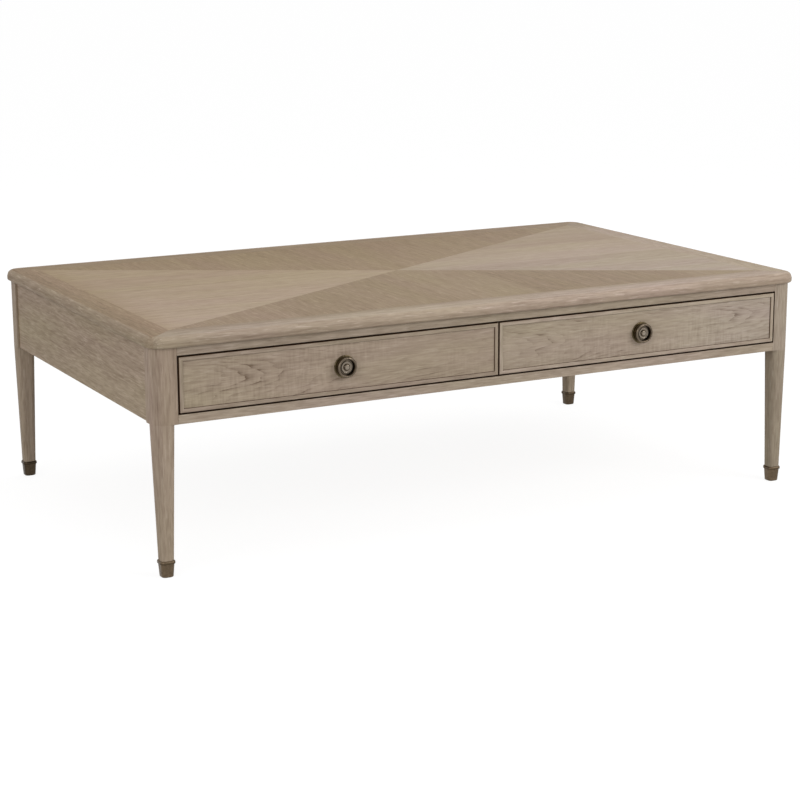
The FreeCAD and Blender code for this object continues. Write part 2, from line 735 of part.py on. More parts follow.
def make_pulls():
    """A turned rosette with a lug, the ring that swings in it, and the bolt from inside the drawer."""
    turned = body_named("rosette_blank")
    profile = sketch_in(turned, "rosette_profile", "XZ_Plane", 0)
    rim = size.boss_radius - size.boss_rim_width
    boss_top = size.rosette_depth + size.boss_height
    dish = boss_top - size.boss_dish
    dome_top = dish + size.dome_height
    polygon(profile, [
        (0, 0), (size.rosette_radius, 0), (size.rosette_radius, size.rosette_flange),
        (size.rosette_neck_radius, size.rosette_flange), (size.rosette_neck_radius, size.rosette_depth),
        (size.boss_radius, size.rosette_depth), (size.boss_radius, boss_top), (rim, boss_top), (rim, dish),
        (size.dome_radius, dish), (size.dome_radius, dome_top), (0, dome_top)])
    revolve(turned, profile)
    fillet(turned, "dome_round", size.dome_round, dome_top, edge_radius=size.dome_radius)
    fillet(turned, "boss_round", size.boss_round, boss_top)
    fillet(turned, "flange_round", size.rosette_flange_round, size.rosette_flange,
           edge_radius=size.rosette_radius)
    place(turned, (pull_x, -front_face, pull_z), Rotation(AXES["x"], 90))

    half_lug = size.lug_width / 2
    lug_x = (pull_x - half_lug, pull_x + half_lug)
    lug_root_y = size.lug_root - (front_face + size.rosette_depth)
    lug_z = (ring_axis_z - size.lug_eye_radius, ring_axis_z + size.lug_eye_radius)
    eye_start = (lug_x[0], ring_y, ring_axis_z)
    with_lug = fuse("rosette_with_lug", [
        turned, board("lug_arm", lug_x, (ring_y, lug_root_y), lug_z),
        rod("lug_eye", "x", eye_start, size.lug_eye_radius, size.lug_width)])
    bore_start = (lug_x[0] - size.cut_overrun, ring_y, ring_axis_z)
    bore = rod("lug_bore", "x", bore_start, size.ring_pin_radius + size.ring_pin_clearance,
               size.lug_width + size.cut_overrun * 2)
    bolt_end = -(front_face + size.pull_screw_bite)
    thread = rod("rosette_thread", "y", (pull_x, bolt_end - size.screw_clearance, pull_z),
                 size.pull_screw_radius + size.screw_clearance, size.pull_screw_bite + size.cut_overrun)
    keep_pair(cut("pull_right_rosette", with_lug, [bore, thread]), "pull_right_rosette")

    shank = rod("pull_bolt_shank", "y", (pull_x, bolt_end, pull_z), size.pull_screw_radius,
                size.pull_screw_bite + size.front_thickness)
    bolt_head = rod("pull_bolt_head", "y", (pull_x, -front_back, pull_z), size.pull_screw_head_radius,
                    size.pull_screw_head_height)
    keep_pair(fuse("pull_right_bolt", [shank, bolt_head]), "pull_right_bolt")

    # The ring is cut away at the lug, and a thin pin through the lug joins its two ends.
    hoop = DOC.addObject("Part::Torus", "ring_hoop")
    place(hoop, (pull_x, ring_y, pull_z), RUN_ALONG["y"])
    bind(hoop, "Radius1", size.ring_radius)
    bind(hoop, "Radius2", size.ring_tube_radius)
    half_gap = half_lug + size.lug_side_gap
    reach = size.ring_tube_radius + size.cut_overrun
    gap = board("ring_lug_gap", (pull_x - half_gap, pull_x + half_gap), (ring_y - reach, ring_y + reach),
                (ring_axis_z - reach, ring_axis_z + reach))
    half_pin = half_gap + size.ring_pin_root
    pin = rod("ring_pin", "x", (pull_x - half_pin, ring_y, ring_axis_z), size.ring_pin_radius, half_pin * 2)
    keep_pair(fuse("pull_right_ring", [cut("ring_open", hoop, [gap]), pin]), "pull_right_ring")


def check_and_write():
    """Stops if any object failed or any piece is not a sound solid, then writes one file per piece."""
    DOC.recompute()
    for thing in DOC.Objects:
        if "Invalid" in thing.State or "Error" in thing.State:
            raise RuntimeError("%s failed: %s" % (thing.Label, thing.State))
    for piece in PIECES:
        if piece.Shape.isNull() or not piece.Shape.isValid() or not piece.Shape.Solids:
            raise RuntimeError("%s has no sound solid" % piece.Label)
    os.makedirs("parts", exist_ok=True)
    for piece in PIECES:
        piece.Shape.exportStep("parts/%s.step" % piece.Label)
        print(piece.Label, len(piece.Shape.Solids), round(piece.Shape.Volume))
    print(len(PIECES), "pieces")


mortises = make_apron()
make_legs_and_ferrules(*mortises)
make_top(make_drawer_carriers())
make_drawers()
make_pulls()
check_and_write()
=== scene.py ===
import json
import math

import bmesh
import bpy
from bpy.props import FloatProperty, FloatVectorProperty, IntProperty, PointerProperty
from mathutils import Euler, Matrix, Vector

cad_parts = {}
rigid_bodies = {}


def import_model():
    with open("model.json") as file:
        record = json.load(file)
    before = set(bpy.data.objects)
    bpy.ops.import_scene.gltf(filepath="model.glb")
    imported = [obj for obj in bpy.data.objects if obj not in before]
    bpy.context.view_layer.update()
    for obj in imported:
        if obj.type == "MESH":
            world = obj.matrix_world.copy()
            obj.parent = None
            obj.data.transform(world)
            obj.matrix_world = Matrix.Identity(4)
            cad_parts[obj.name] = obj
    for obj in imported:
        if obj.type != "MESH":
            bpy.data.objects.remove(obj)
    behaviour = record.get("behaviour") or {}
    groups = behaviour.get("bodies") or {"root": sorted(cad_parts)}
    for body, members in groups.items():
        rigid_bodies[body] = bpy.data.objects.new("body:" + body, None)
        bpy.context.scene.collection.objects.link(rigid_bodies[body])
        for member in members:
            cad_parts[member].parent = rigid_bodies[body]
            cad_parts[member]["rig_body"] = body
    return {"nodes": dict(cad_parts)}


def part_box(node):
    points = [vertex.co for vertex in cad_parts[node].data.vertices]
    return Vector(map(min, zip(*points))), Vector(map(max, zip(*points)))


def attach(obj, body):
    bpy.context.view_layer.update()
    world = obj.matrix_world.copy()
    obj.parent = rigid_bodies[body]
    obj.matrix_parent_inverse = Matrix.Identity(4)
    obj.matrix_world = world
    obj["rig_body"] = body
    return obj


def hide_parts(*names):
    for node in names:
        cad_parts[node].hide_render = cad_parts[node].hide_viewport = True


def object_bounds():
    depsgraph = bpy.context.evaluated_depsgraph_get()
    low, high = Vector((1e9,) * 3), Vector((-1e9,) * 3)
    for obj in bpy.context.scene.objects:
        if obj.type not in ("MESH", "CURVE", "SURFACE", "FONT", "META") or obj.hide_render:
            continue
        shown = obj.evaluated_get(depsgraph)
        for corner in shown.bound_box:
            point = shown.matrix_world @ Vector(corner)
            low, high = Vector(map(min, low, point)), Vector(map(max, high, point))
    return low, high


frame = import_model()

bl_info = {
    "name": "Storage coffee table",
    "version": (1, 0, 0),
    "blender": (4, 5, 0),
    "location": "View3D > Sidebar > Coffee Table",
    "description": "Dresses a low oak table with two drawers, brass ring pulls and brass ferrules",
    "category": "Object",
}

CAD_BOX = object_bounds()
NODES = frame["nodes"]
SIDES = ("left", "right")

# A corner outside the table for boxes, of stain, dark glazing, painted light and painted shade, open on
# some sides.
FAR = Vector((2.0, 2.0, 2.0))

# Width of the soft edge of the gaps' dark glazing and painted shade; its box reaches that far into the
# wood round a gap.
GLAZE_AND_SHADE_FADE = 0.0008

# How wood is turned so that its grain, which the shader runs along X, follows another axis.
GRAIN_TURNS = {
    "x": Euler((0, 0, 0)),
    "y": Euler((0, 0, math.radians(-90))),
    "z": Euler((0, math.radians(90), 0)),
}

# The marks of a wood's grain: how often each changes in a metre, along the grain and in two directions
# across it, then how much detail it has and how rough that is.
GRAIN_MARKS = {
    "waver": ((2.6, 15.0, 15.0), 4.0, 0.5),
    "break": ((22.0, 170.0, 170.0), 3.0, 0.6),
    "figure": ((3.0, 9.0, 9.0), 1.0, 0.5),
    "fine": ((14.0, 330.0, 330.0), 5.0, 0.7),
    "dash": ((30.0, 240.0, 240.0), 2.0, 0.5),
    "broad": ((2.4, 52.0, 52.0), 3.0, 0.55),
    "pore": ((27.0, 430.0, 430.0), 3.0, 0.6),
    "fleck": ((26.0, 290.0, 310.0), 3.0, 0.6),
    "ripple": ((210.0, 26.0, 30.0), 2.0, 0.5),
    "rippled": ((4.5, 4.0, 8.0), 1.0, 0.5),
    "patch": ((2.2, 11.0, 11.0), 3.0, 0.5),
}

# The mottling of metal, given in the same way.
MOTTLE = ((190.0, 190.0, 190.0), 4.0, 0.6)

# Height of a ferrule's dark sole, and where the painted shadow at the foot of its collar starts, is
# full, thins and ends, measured up from the foot of the collar.
SOLE_HEIGHT = 0.0016
COLLAR_SHADE = (-0.0010, -0.0002, 0.0010, 0.0030)

# The small sizes of a screw as shares of its larger ones, and the number of its sides.
SCREW_SHARES = {
    "point": 3.0, "tip": 0.2, "overlap": 0.5, "slot_width": 0.24, "slot_depth": 0.9,
    "dome_face": 0.8, "slot_length": 1.1,
}
SCREW_SIDES = 24


class OakFinish(bpy.types.PropertyGroup):
    """Colours of the weathered oak and of the plain wood inside."""

    pale: FloatVectorProperty(
        name="Pale oak", description="Colour of the wood between its growth rings",
        subtype="COLOR", min=0, max=1, default=(0.430, 0.348, 0.262))
    deep: FloatVectorProperty(
        name="Deep oak", description="Colour of the porous start of each growth ring",
        subtype="COLOR", min=0, max=1, default=(0.190, 0.138, 0.096))
    lime: FloatVectorProperty(
        name="Lime", description="Colour of the pale wax left in some pores",
        subtype="COLOR", min=0, max=1, default=(0.60, 0.505, 0.41))
    honey: FloatVectorProperty(
        name="Honey tint", description="Yellow tint that the wood takes in broad soft patches",
        subtype="COLOR", min=0, max=1, default=(1.0, 0.985, 0.90))
    rose: FloatVectorProperty(
        name="Rose tint", description="Pink tint that the wood takes between the yellow patches",
        subtype="COLOR", min=0, max=1, default=(1.0, 0.945, 0.94))
    # This colour is partly a dark glazing and partly painted shade: the shade that falls into the narrow
    # gaps round the drawers.
    glaze_and_shade: FloatVectorProperty(
        name="Glaze", description="Colour of the dark glaze left in narrow gaps",
        subtype="COLOR", min=0, max=1, default=(0.040, 0.013, 0.001))
    plain: FloatVectorProperty(
        name="Drawer wood", description="Colour of the unstained wood inside",
        subtype="COLOR", min=0, max=1, default=(0.56, 0.42, 0.26))
    plain_deep: FloatVectorProperty(
        name="Drawer wood rings", description="Colour of the rings of the unstained wood inside",
        subtype="COLOR", min=0, max=1, default=(0.36, 0.24, 0.13))
    pore_depth: FloatProperty(
        name="Pore depth", description="How deep the open pores are", unit="LENGTH",
        min=0, max=0.002, default=0.0004)


class BrassFinish(bpy.types.PropertyGroup):
    """Colours of the antique brass and of the steel screws."""

    rubbed: FloatVectorProperty(
        name="Rubbed brass", description="Colour where hands have rubbed the patina away",
        subtype="COLOR", min=0, max=1, default=(0.150, 0.118, 0.086))
    # Rubbed brass on the raised knob and rim of a boss, with a painted highlight on them.
    bright: FloatVectorProperty(
        name="Bright brass", description="Colour of the knob and the rim of a pull's boss",
        subtype="COLOR", min=0, max=1, default=(0.27, 0.23, 0.185))
    # On the ferrules this colour paints the shadow at the foot of the collar, and darkens the soles.
    shaded: FloatVectorProperty(
        name="Shaded brass", description="Colour of grooves and undersides, which hands seldom reach",
        subtype="COLOR", min=0, max=1, default=(0.075, 0.053, 0.032))
    flange: FloatVectorProperty(
        name="Flange brass", description="Colour of the flange of a pull, which lies in its shade",
        subtype="COLOR", min=0, max=1, default=(0.13, 0.10, 0.055))
    patina: FloatVectorProperty(
        name="Patina", description="Colour of the dark patina",
        subtype="COLOR", min=0, max=1, default=(0.034, 0.022, 0.013))
    cup: FloatVectorProperty(
        name="Ferrule brass", description="Colour of the ferrules on the feet",
        subtype="COLOR", min=0, max=1, default=(0.142, 0.103, 0.066))
    steel: FloatVectorProperty(
        name="Screw steel", description="Colour of the plated screws",
        subtype="COLOR", min=0, max=1, default=(0.52, 0.50, 0.46))


class BoardSizes(bpy.types.PropertyGroup):
    """Small sizes that finish the boards, beads and screws."""

    ease: FloatProperty(
        name="Eased edge", description="Width by which the sharp edges of boards are eased",
        unit="LENGTH", min=0.0001, max=0.005, default=0.0008)
    bead_width: FloatProperty(
        name="Bead width", description="Width of the bead round a drawer front",
        unit="LENGTH", min=0.002, max=0.02, default=0.0085)
    bead_round: FloatProperty(
        name="Bead round", description="Radius of the bead's two front edges",
        unit="LENGTH", min=0.0002, max=0.0034, default=0.0022)
    # Past this depth the bead's sides take the dark glazing and painted shade of the gaps.
    bead_glaze_and_shade: FloatProperty(
        name="Bead glaze", description="Depth below the bead's face at which dark glaze begins",
        unit="LENGTH", min=0.0, max=0.01, default=0.0006)
    # The posts and the short strips of the beads take the gaps' dark glazing and painted shade this
    # deep.
    glaze_and_shade_reach: FloatProperty(
        name="Glaze reach", description="Depth of the dark glaze in the upright gaps at the drawers",
        unit="LENGTH", min=0.0, max=0.05, default=0.006)
    # Inside this width the flat of the top's bands takes a darker tint, which leaves the rounded edge
    # paler: a painted sheen.
    edge_round: FloatProperty(
        name="Edge round", description="Width of the rounded edge of the top that the stain left paler",
        unit="LENGTH", default=0.008)
    edge_step: FloatProperty(
        name="Edge step", description="Depth below the top of the small step in its moulded edge",
        unit="LENGTH", default=0.012)
    collar_height: FloatProperty(
        name="Collar height", description="Height of the collar at the top of a ferrule",
        unit="LENGTH", min=0.001, max=0.02, default=0.0062)
    screw_head: FloatProperty(
        name="Screw head", description="Radius of a wood screw's countersunk head",
        unit="LENGTH", min=0.001, max=0.01, default=0.004)
    screw_head_height: FloatProperty(
        name="Screw head height", description="Depth of a wood screw's countersunk head",
        unit="LENGTH", min=0.0005, max=0.01, default=0.0026)
    screw_shank: FloatProperty(
        name="Screw shank", description="Radius of the shank of a screw or a pull's bolt",
        unit="LENGTH", min=0.0005, max=0.005, default=0.002)
    bolt_head: FloatProperty(
        name="Bolt head", description="Radius of the domed head of a pull's bolt",
        unit="LENGTH", min=0.001, max=0.01, default=0.0042)
    bolt_head_height: FloatProperty(
        name="Bolt head height", description="Height of the domed head of a pull's bolt",
        unit="LENGTH", min=0.0005, max=0.01, default=0.0024)
    # This is the width of a darker band in the rosette's colour: painted shade of the recess between
    # boss and ring, which also covers the outer part of the boss.
    pull_groove: FloatProperty(
        name="Pull groove", description="Width of the dark groove between a pull's boss and its ring",
        unit="LENGTH", min=0.0, max=0.01, default=0.0042)
    bead_steps: IntProperty(
        name="Bead steps", description="Facets in each round of the bead", min=1, max=16, default=6)


class StageSettings(bpy.types.PropertyGroup):
    """Camera, lights and floor."""

    camera_place: FloatVectorProperty(
        name="Camera place", description="Where the camera stands", subtype="TRANSLATION",
        unit="LENGTH", default=(-2.1011, -3.9980, 1.2423))
    camera_yaw: FloatProperty(
        name="Camera yaw", description="Turn of the view from +Y towards +X", unit="ROTATION",
        default=0.4853)
    camera_pitch: FloatProperty(
        name="Camera pitch", description="Angle by which the camera looks down", unit="ROTATION",
        default=0.2309)
    camera_roll: FloatProperty(
        name="Camera roll", description="Turn of the camera about its line of sight", unit="ROTATION",
        default=-0.0043)
    camera_lens: FloatProperty(
        name="Camera lens", description="Focal length", unit="CAMERA", min=10, max=300, default=92.2)
    floor_width: FloatProperty(
        name="Floor width", description="Width of the square floor", unit="LENGTH", default=120.0)
    floor_grey: FloatProperty(
        name="Floor grey", description="Lightness of the floor where it throws light at the table",
        min=0, max=1, default=0.6)
    shadow_grey: FloatProperty(
        name="Shadow grey", description="Lightness of the floor that the view loses in a shadow",
        min=0, max=1, default=0.2)
    floor_glow: FloatProperty(
        name="Floor glow", description="Light that the floor shows the view even in a shadow",
        min=0, default=0.89)
    ambient: FloatProperty(
        name="Ambient light", description="Strength of the even light all round", min=0, default=0.52)
    key_power: FloatProperty(
        name="Key power", description="Power of the large light above on the right", unit="POWER",
        min=0, default=52.0)
    fill_power: FloatProperty(
        name="Fill power", description="Power of the soft light on the left", unit="POWER",
        min=0, default=36.0)
    sheen_power: FloatProperty(
        name="Sheen power", description="Power of the low light behind on the right", unit="POWER",
        min=0, default=12.0)
    top_power: FloatProperty(
        name="Top power", description="Power of the large light overhead", unit="POWER",
        min=0, default=26.0)


def cleared_tree(owner):
    """The empty node tree of a new material or world."""
    owner.use_nodes = True
    owner.node_tree.nodes.clear()
    return owner.node_tree


def linked(name, data):
    """A new object in the scene."""
    thing = bpy.data.objects.new(name, data)
    bpy.context.scene.collection.objects.link(thing)
    return thing


def add(tree, kind, inputs=None, **settings):
    """Adds a node; each input is a socket to link or a value to set."""
    node = tree.nodes.new(kind)
    for name, value in settings.items():
        setattr(node, name, value)
    for key, value in (inputs or {}).items():
        if isinstance(value, bpy.types.NodeSocket):
            tree.links.new(value, node.inputs[key])
        else:
            node.inputs[key].default_value = value
    return node


def maths(tree, operation, first, second=0.0):
    return add(tree, "ShaderNodeMath", {0: first, 1: second}, operation=operation).outputs[0]


def spread(tree, value, low, high, to_low=0.0, to_high=1.0):
    """Maps a range of values to another range and stops at its ends."""
    return add(tree, "ShaderNodeMapRange", {
        "Value": value, "From Min": low, "From Max": high,
        "To Min": to_low, "To Max": to_high}).outputs[0]


def mix(tree, factor, first, second, mode="MIX"):
    """Mixes two colours."""
    return add(tree, "ShaderNodeMix", {0: factor, 6: first, 7: second},
               data_type="RGBA", blend_type=mode).outputs[2]


def noise(tree, position, stretch, detail, roughness):
    """Noise from 0 to 1 that changes stretch times a metre along each axis."""
    moved = add(tree, "ShaderNodeVectorMath", {0: position, 1: stretch}, operation="MULTIPLY")
    return add(tree, "ShaderNodeTexNoise", {
        "Vector": moved.outputs[0], "Scale": 1.0, "Detail": detail, "Roughness": roughness}).outputs[0]


def rgba(colour, tone=(1.0, 1.0, 1.0)):
    """A colour with its channels scaled by a tone, as a socket takes it."""
    return tuple(channel * scale for channel, scale in zip(colour, tone)) + (1.0,)


def node_group(name, kind, inputs, outputs):
    """An empty node group with named inputs, each with its default, and named outputs."""
    tree = bpy.data.node_groups.new(name, kind)
    for label, holds, default in inputs:
        socket = tree.interface.new_socket(label, in_out="INPUT", socket_type="NodeSocket" + holds)
        if default is not None:
            socket.default_value = default
    for label, holds in outputs:
        tree.interface.new_socket(label, in_out="OUTPUT", socket_type="NodeSocket" + holds)
    return tree, tree.nodes.new("NodeGroupInput").outputs, tree.nodes.new("NodeGroupOutput").inputs


def wood_group():
    """Growth rings, fibres, pores, ripple and soft patches of a board whose grain runs along X."""
    name = "Board grain"
    if name in bpy.data.node_groups:
        return bpy.data.node_groups[name]
    tree, given, put = node_group(name, "ShaderNodeTree", (
        ("Position", "Vector", None), ("Pale", "Color", None), ("Deep", "Color", None),
        ("Lime", "Color", None), ("Honey", "Color", None), ("Rose", "Color", None),
        ("Ring Spacing", "Float", 0.006), ("Ring Strength", "Float", 0.4), ("Taper", "Float", 0.012),
        ("Waver", "Float", 0.02), ("Ripple", "Float", 0.1), ("Fibre", "Float", 0.9),
        ("Pores", "Float", 0.2), ("Flecks", "Float", 0.4), ("Leaf Width", "Float", 10.0)),
        (("Colour", "Color"), ("Roughness", "Float"), ("Height", "Float")))
    position = given["Position"]
    axes = add(tree, "ShaderNodeSeparateXYZ", {0: position}).outputs

    def mark(label):
        """One of the grain's marks, from 0 to 1."""
        return noise(tree, position, *GRAIN_MARKS[label])

    def swing(label):
        """One of the grain's marks, to both sides of nothing."""
        return maths(tree, "SUBTRACT", mark(label), 0.5)

    def lot(number):
        """A value from 0 to 1 that each whole number draws for itself."""
        drawn = add(tree, "ShaderNodeTexWhiteNoise", {"W": number}, noise_dimensions="1D")
        return drawn.outputs["Value"]

    # Sheets of veneer lie side by side, each cut from another place in the tree.
    leaf = maths(tree, "FLOOR", maths(tree, "DIVIDE", axes[1], given["Leaf Width"]))

    # Rings are cones round the tree's heart, and a slow noise makes them waver along the board.
    across = add(tree, "ShaderNodeCombineXYZ", {1: axes[1], 2: axes[2]}).outputs[0]
    radius = add(tree, "ShaderNodeVectorMath", {0: across}, operation="LENGTH").outputs["Value"]
    cone = maths(tree, "ADD", radius, maths(tree, "MULTIPLY", axes[0], given["Taper"]))
    wavering = maths(tree, "ADD", cone, maths(tree, "MULTIPLY", swing("waver"), given["Waver"]))
    count = maths(tree, "DIVIDE", wavering, given["Ring Spacing"])
    ring = maths(tree, "POWER", maths(tree, "SUBTRACT", 1.0, maths(tree, "FRACT", count)), 3.0)

    # Each ring has its own strength, breaks up into dashes and shows more in some places than in others.
    for strength in (
            spread(tree, lot(maths(tree, "FLOOR", count)), 0.0, 1.0, 0.2, 1.0),
            spread(tree, mark("break"), 0.42, 0.62, 0.05, 1.0),
            spread(tree, mark("figure"), 0.38, 0.62, 0.15, 1.0)):
        ring = maths(tree, "MULTIPLY", ring, strength)

    # Fibres, open pores, limed flecks and a ripple across the grain lie over the rings.
    fine = swing("fine")
    dash = spread(tree, mark("dash"), 0.36, 0.64, -0.16, 0.16)
    fibre = maths(tree, "ADD", maths(tree, "MULTIPLY", fine, 1.4), dash)
    fibre = maths(tree, "ADD", fibre, maths(tree, "MULTIPLY", swing("broad"), 0.7))
    pore = spread(tree, mark("pore"), 0.56, 0.72)
    fleck = spread(tree, mark("fleck"), 0.56, 0.70)
    ripple = maths(tree, "MULTIPLY", swing("ripple"), spread(tree, mark("rippled"), 0.40, 0.60))

    depth = maths(tree, "MULTIPLY", ring, given["Ring Strength"])
    for marks, label in ((fibre, "Fibre"), (pore, "Pores"), (ripple, "Ripple")):
        depth = maths(tree, "ADD", depth, maths(tree, "MULTIPLY", marks, given[label]))
    depth = maths(tree, "ADD", depth, spread(tree, lot(leaf), 0.0, 1.0, 0.14, 0.30))
    clamped = add(tree, "ShaderNodeClamp", {"Value": depth}).outputs[0]
    colour = mix(tree, clamped, given["Pale"], given["Deep"])
    colour = mix(tree, maths(tree, "MULTIPLY", fleck, given["Flecks"]), colour, given["Lime"])
    tint = mix(tree, spread(tree, mark("patch"), 0.36, 0.64), given["Honey"], given["Rose"])
    tree.links.new(mix(tree, 1.0, colour, tint, "MULTIPLY"), put["Colour"])
    tree.links.new(spread(tree, depth, 0.0, 1.0, 0.52, 0.72), put["Roughness"])
    grooves = maths(tree, "ADD", maths(tree, "MULTIPLY", pore, 0.6), maths(tree, "MULTIPLY", fine, 0.4))
    tree.links.new(maths(tree, "SUBTRACT", 1.0, grooves), put["Height"])
    return tree


def box_group():
    """A mask that is one inside a box and falls to nothing over a short way at its sides."""
    name = "Box of finish"
    if name in bpy.data.node_groups:
        return bpy.data.node_groups[name]
    tree, given, put = node_group(name, "ShaderNodeTree", (
        ("Position", "Vector", None), ("Low", "Vector", None), ("High", "Vector", None),
        ("Fade", "Float", GLAZE_AND_SHADE_FADE)), (("Mask", "Float"),))
    depths = []
    for first, second in (("Position", "Low"), ("High", "Position")):
        inside = add(tree, "ShaderNodeVectorMath", {0: given[first], 1: given[second]},
                     operation="SUBTRACT").outputs[0]
        depths += add(tree, "ShaderNodeSeparateXYZ", {0: inside}).outputs
    least = depths[0]
    for depth in depths[1:]:
        least = maths(tree, "MINIMUM", least, depth)
    tree.links.new(spread(tree, maths(tree, "DIVIDE", least, given["Fade"]), 0.0, 1.0), put["Mask"])
    return tree


def box_mask(tree, position, low, high, fade):
    """One inside a box, falling to nothing over the width of its soft edge."""
    mask = add(tree, "ShaderNodeGroup", node_tree=box_group())
    tree.links.new(position, mask.inputs["Position"])
    for label, value in (("Low", low), ("High", high), ("Fade", fade)):
        mask.inputs[label].default_value = value
    return mask.outputs["Mask"]


def wood(name, grain, heart, colours, tints, tone=(1.0, 1.0, 1.0), glazed=None, stains=(), **cut):
    """A wood whose grain runs along one axis, with the tree's heart on a line through a point.

    A box of two corners in glazed holds the surfaces that are dark with glazing and with
    painted shade in the gaps. Each item of stains is a box of two corners, the width of its
    soft edge and a tint, where the wood took more or less stain, or where light or shade is painted."""
    oak_finish = bpy.context.scene.table_oak
    material = bpy.data.materials.new(name)
    tree = cleared_tree(material)
    turn = GRAIN_TURNS[grain]
    position = add(tree, "ShaderNodeTexCoord").outputs["Object"]
    place = add(tree, "ShaderNodeMapping", {
        "Vector": position, "Location": -(turn.to_matrix() @ Vector(heart)), "Rotation": turn})
    board = add(tree, "ShaderNodeGroup", node_tree=wood_group())
    tree.links.new(place.outputs[0], board.inputs["Position"])
    for label, colour in colours.items():
        board.inputs[label].default_value = rgba(colour, tone)
    for label, tint in zip(("Honey", "Rose"), tints):
        board.inputs[label].default_value = rgba(tint)
    for label, value in cut.items():
        board.inputs[label.replace("_", " ").title()].default_value = value
    colour = board.outputs["Colour"]
    for low, high, fade, tint in stains:
        colour = mix(tree, box_mask(tree, position, low, high, fade), colour, rgba(tint), "MULTIPLY")
    if glazed:
        colour = mix(tree, box_mask(tree, position, *glazed, GLAZE_AND_SHADE_FADE), colour,
                     rgba(oak_finish.glaze_and_shade))
    bump = add(tree, "ShaderNodeBump", {
        "Height": board.outputs["Height"], "Strength": 0.3, "Distance": oak_finish.pore_depth})
    shader = add(tree, "ShaderNodeBsdfPrincipled", {
        "Base Color": colour, "Roughness": board.outputs["Roughness"],
        "Specular IOR Level": 0.08, "Normal": bump.outputs[0]})
    add(tree, "ShaderNodeOutputMaterial", {"Surface": shader.outputs[0]})
    return material


def oak(name, grain, heart, **cut):
    finish = bpy.context.scene.table_oak
    return wood(name, grain, heart, {"Pale": finish.pale, "Deep": finish.deep, "Lime": finish.lime},
                (finish.honey, finish.rose), **cut)


def drawer_wood(name, grain, heart):
    finish = bpy.context.scene.table_oak
    colours = {"Pale": finish.plain, "Deep": finish.plain_deep, "Lime": finish.plain}
    tints = ((1.0, 0.98, 0.93), (1.0, 0.97, 0.95))
    return wood(name, grain, heart, colours, tints, ring_spacing=0.009, ring_strength=0.3,
                fibre=0.5, ripple=0.05, flecks=0.1)


def from_floor(tree, position):
    """How high a point lies above the floor, as a measure for a metal's bands."""
    return add(tree, "ShaderNodeSeparateXYZ", {0: position}).outputs["Z"]


def from_pull_axis(tree, position):
    """How far a point lies from the level axis of the nearer pull, as a measure for a metal's bands."""
    centre = middle_of("pull_right_rosette")
    axes = add(tree, "ShaderNodeSeparateXYZ", {0: position}).outputs
    aside = maths(tree, "SUBTRACT", maths(tree, "ABSOLUTE", axes[0]), centre.x)
    above = maths(tree, "SUBTRACT", axes[2], centre.z)
    across = add(tree, "ShaderNodeCombineXYZ", {0: aside, 2: above}).outputs[0]
    return add(tree, "ShaderNodeVectorMath", {0: across}, operation="LENGTH").outputs["Value"]


def metal(name, measure, bands, roughness=(0.3, 0.5), drift=0.1):
    """A patinated metal whose colour runs through bands, each a value of a measure and a colour."""
    material = bpy.data.materials.new(name)
    tree = cleared_tree(material)
    position = add(tree, "ShaderNodeTexCoord").outputs["Object"]
    cloud = noise(tree, position, *MOTTLE)
    first = bands[0][0]
    length = bands[-1][0] - first
    strayed = maths(tree, "MULTIPLY", maths(tree, "SUBTRACT", cloud, 0.5), drift)
    reach = maths(tree, "ADD", spread(tree, measure(tree, position), first, first + length), strayed)
    ramp = add(tree, "ShaderNodeValToRGB", {0: reach})
    stops = ramp.color_ramp.elements
    while len(stops) < len(bands):
        stops.new(1.0)
    for stop, (level, colour) in zip(stops, bands):
        stop.position = (level - first) / length
        stop.color = rgba(colour)
    black = rgba((0.0, 0.0, 0.0))
    mottled = mix(tree, spread(tree, cloud, 0.35, 0.7, 0.0, 0.3), ramp.outputs[0], black)
    shader = add(tree, "ShaderNodeBsdfPrincipled", {
        "Base Color": mottled, "Metallic": 1.0,
        "Roughness": spread(tree, cloud, 0.3, 0.7, *roughness)})
    add(tree, "ShaderNodeOutputMaterial", {"Surface": shader.outputs[0]})
    return material


def dress(node, material):
    """Gives a carried-over piece its material."""
    NODES[node].material_slots[0].material = material


def dress_oak(node, grain, reach, **cut):
    """Gives a carried-over board its oak; its tree's heart lies at a reach from the board's middle."""
    dress(node, oak(node + "_oak", grain, middle_of(node) + Vector(reach), **cut))


def new_piece(name, mesh, node, slot, *materials):
    """A new piece that stands for a carried-over one and rides where that rides."""
    piece = linked(name, mesh)
    for material in materials:
        mesh.materials.append(material)
    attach(piece, NODES[node]["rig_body"])
    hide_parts(node)


def mesh_from(builder, name):
    """Turns a bmesh into a mesh and frees it."""
    bmesh.ops.recalc_face_normals(builder, faces=builder.faces)
    mesh = bpy.data.meshes.new(name)
    builder.to_mesh(mesh)
    builder.free()
    return mesh


def eased_board(name, low, high):
    """A board between two corners, with all its edges eased."""
    builder = bmesh.new()
    bmesh.ops.create_cube(builder, size=1.0)
    extent = high - low
    middle = (low + high) / 2
    for vertex in builder.verts:
        vertex.co = middle + Vector(side * length for side, length in zip(vertex.co, extent))
    bmesh.ops.bevel(builder, geom=builder.edges, offset=bpy.context.scene.table_boards.ease,
                    segments=3, profile=0.5, affect="EDGES")
    return mesh_from(builder, name)


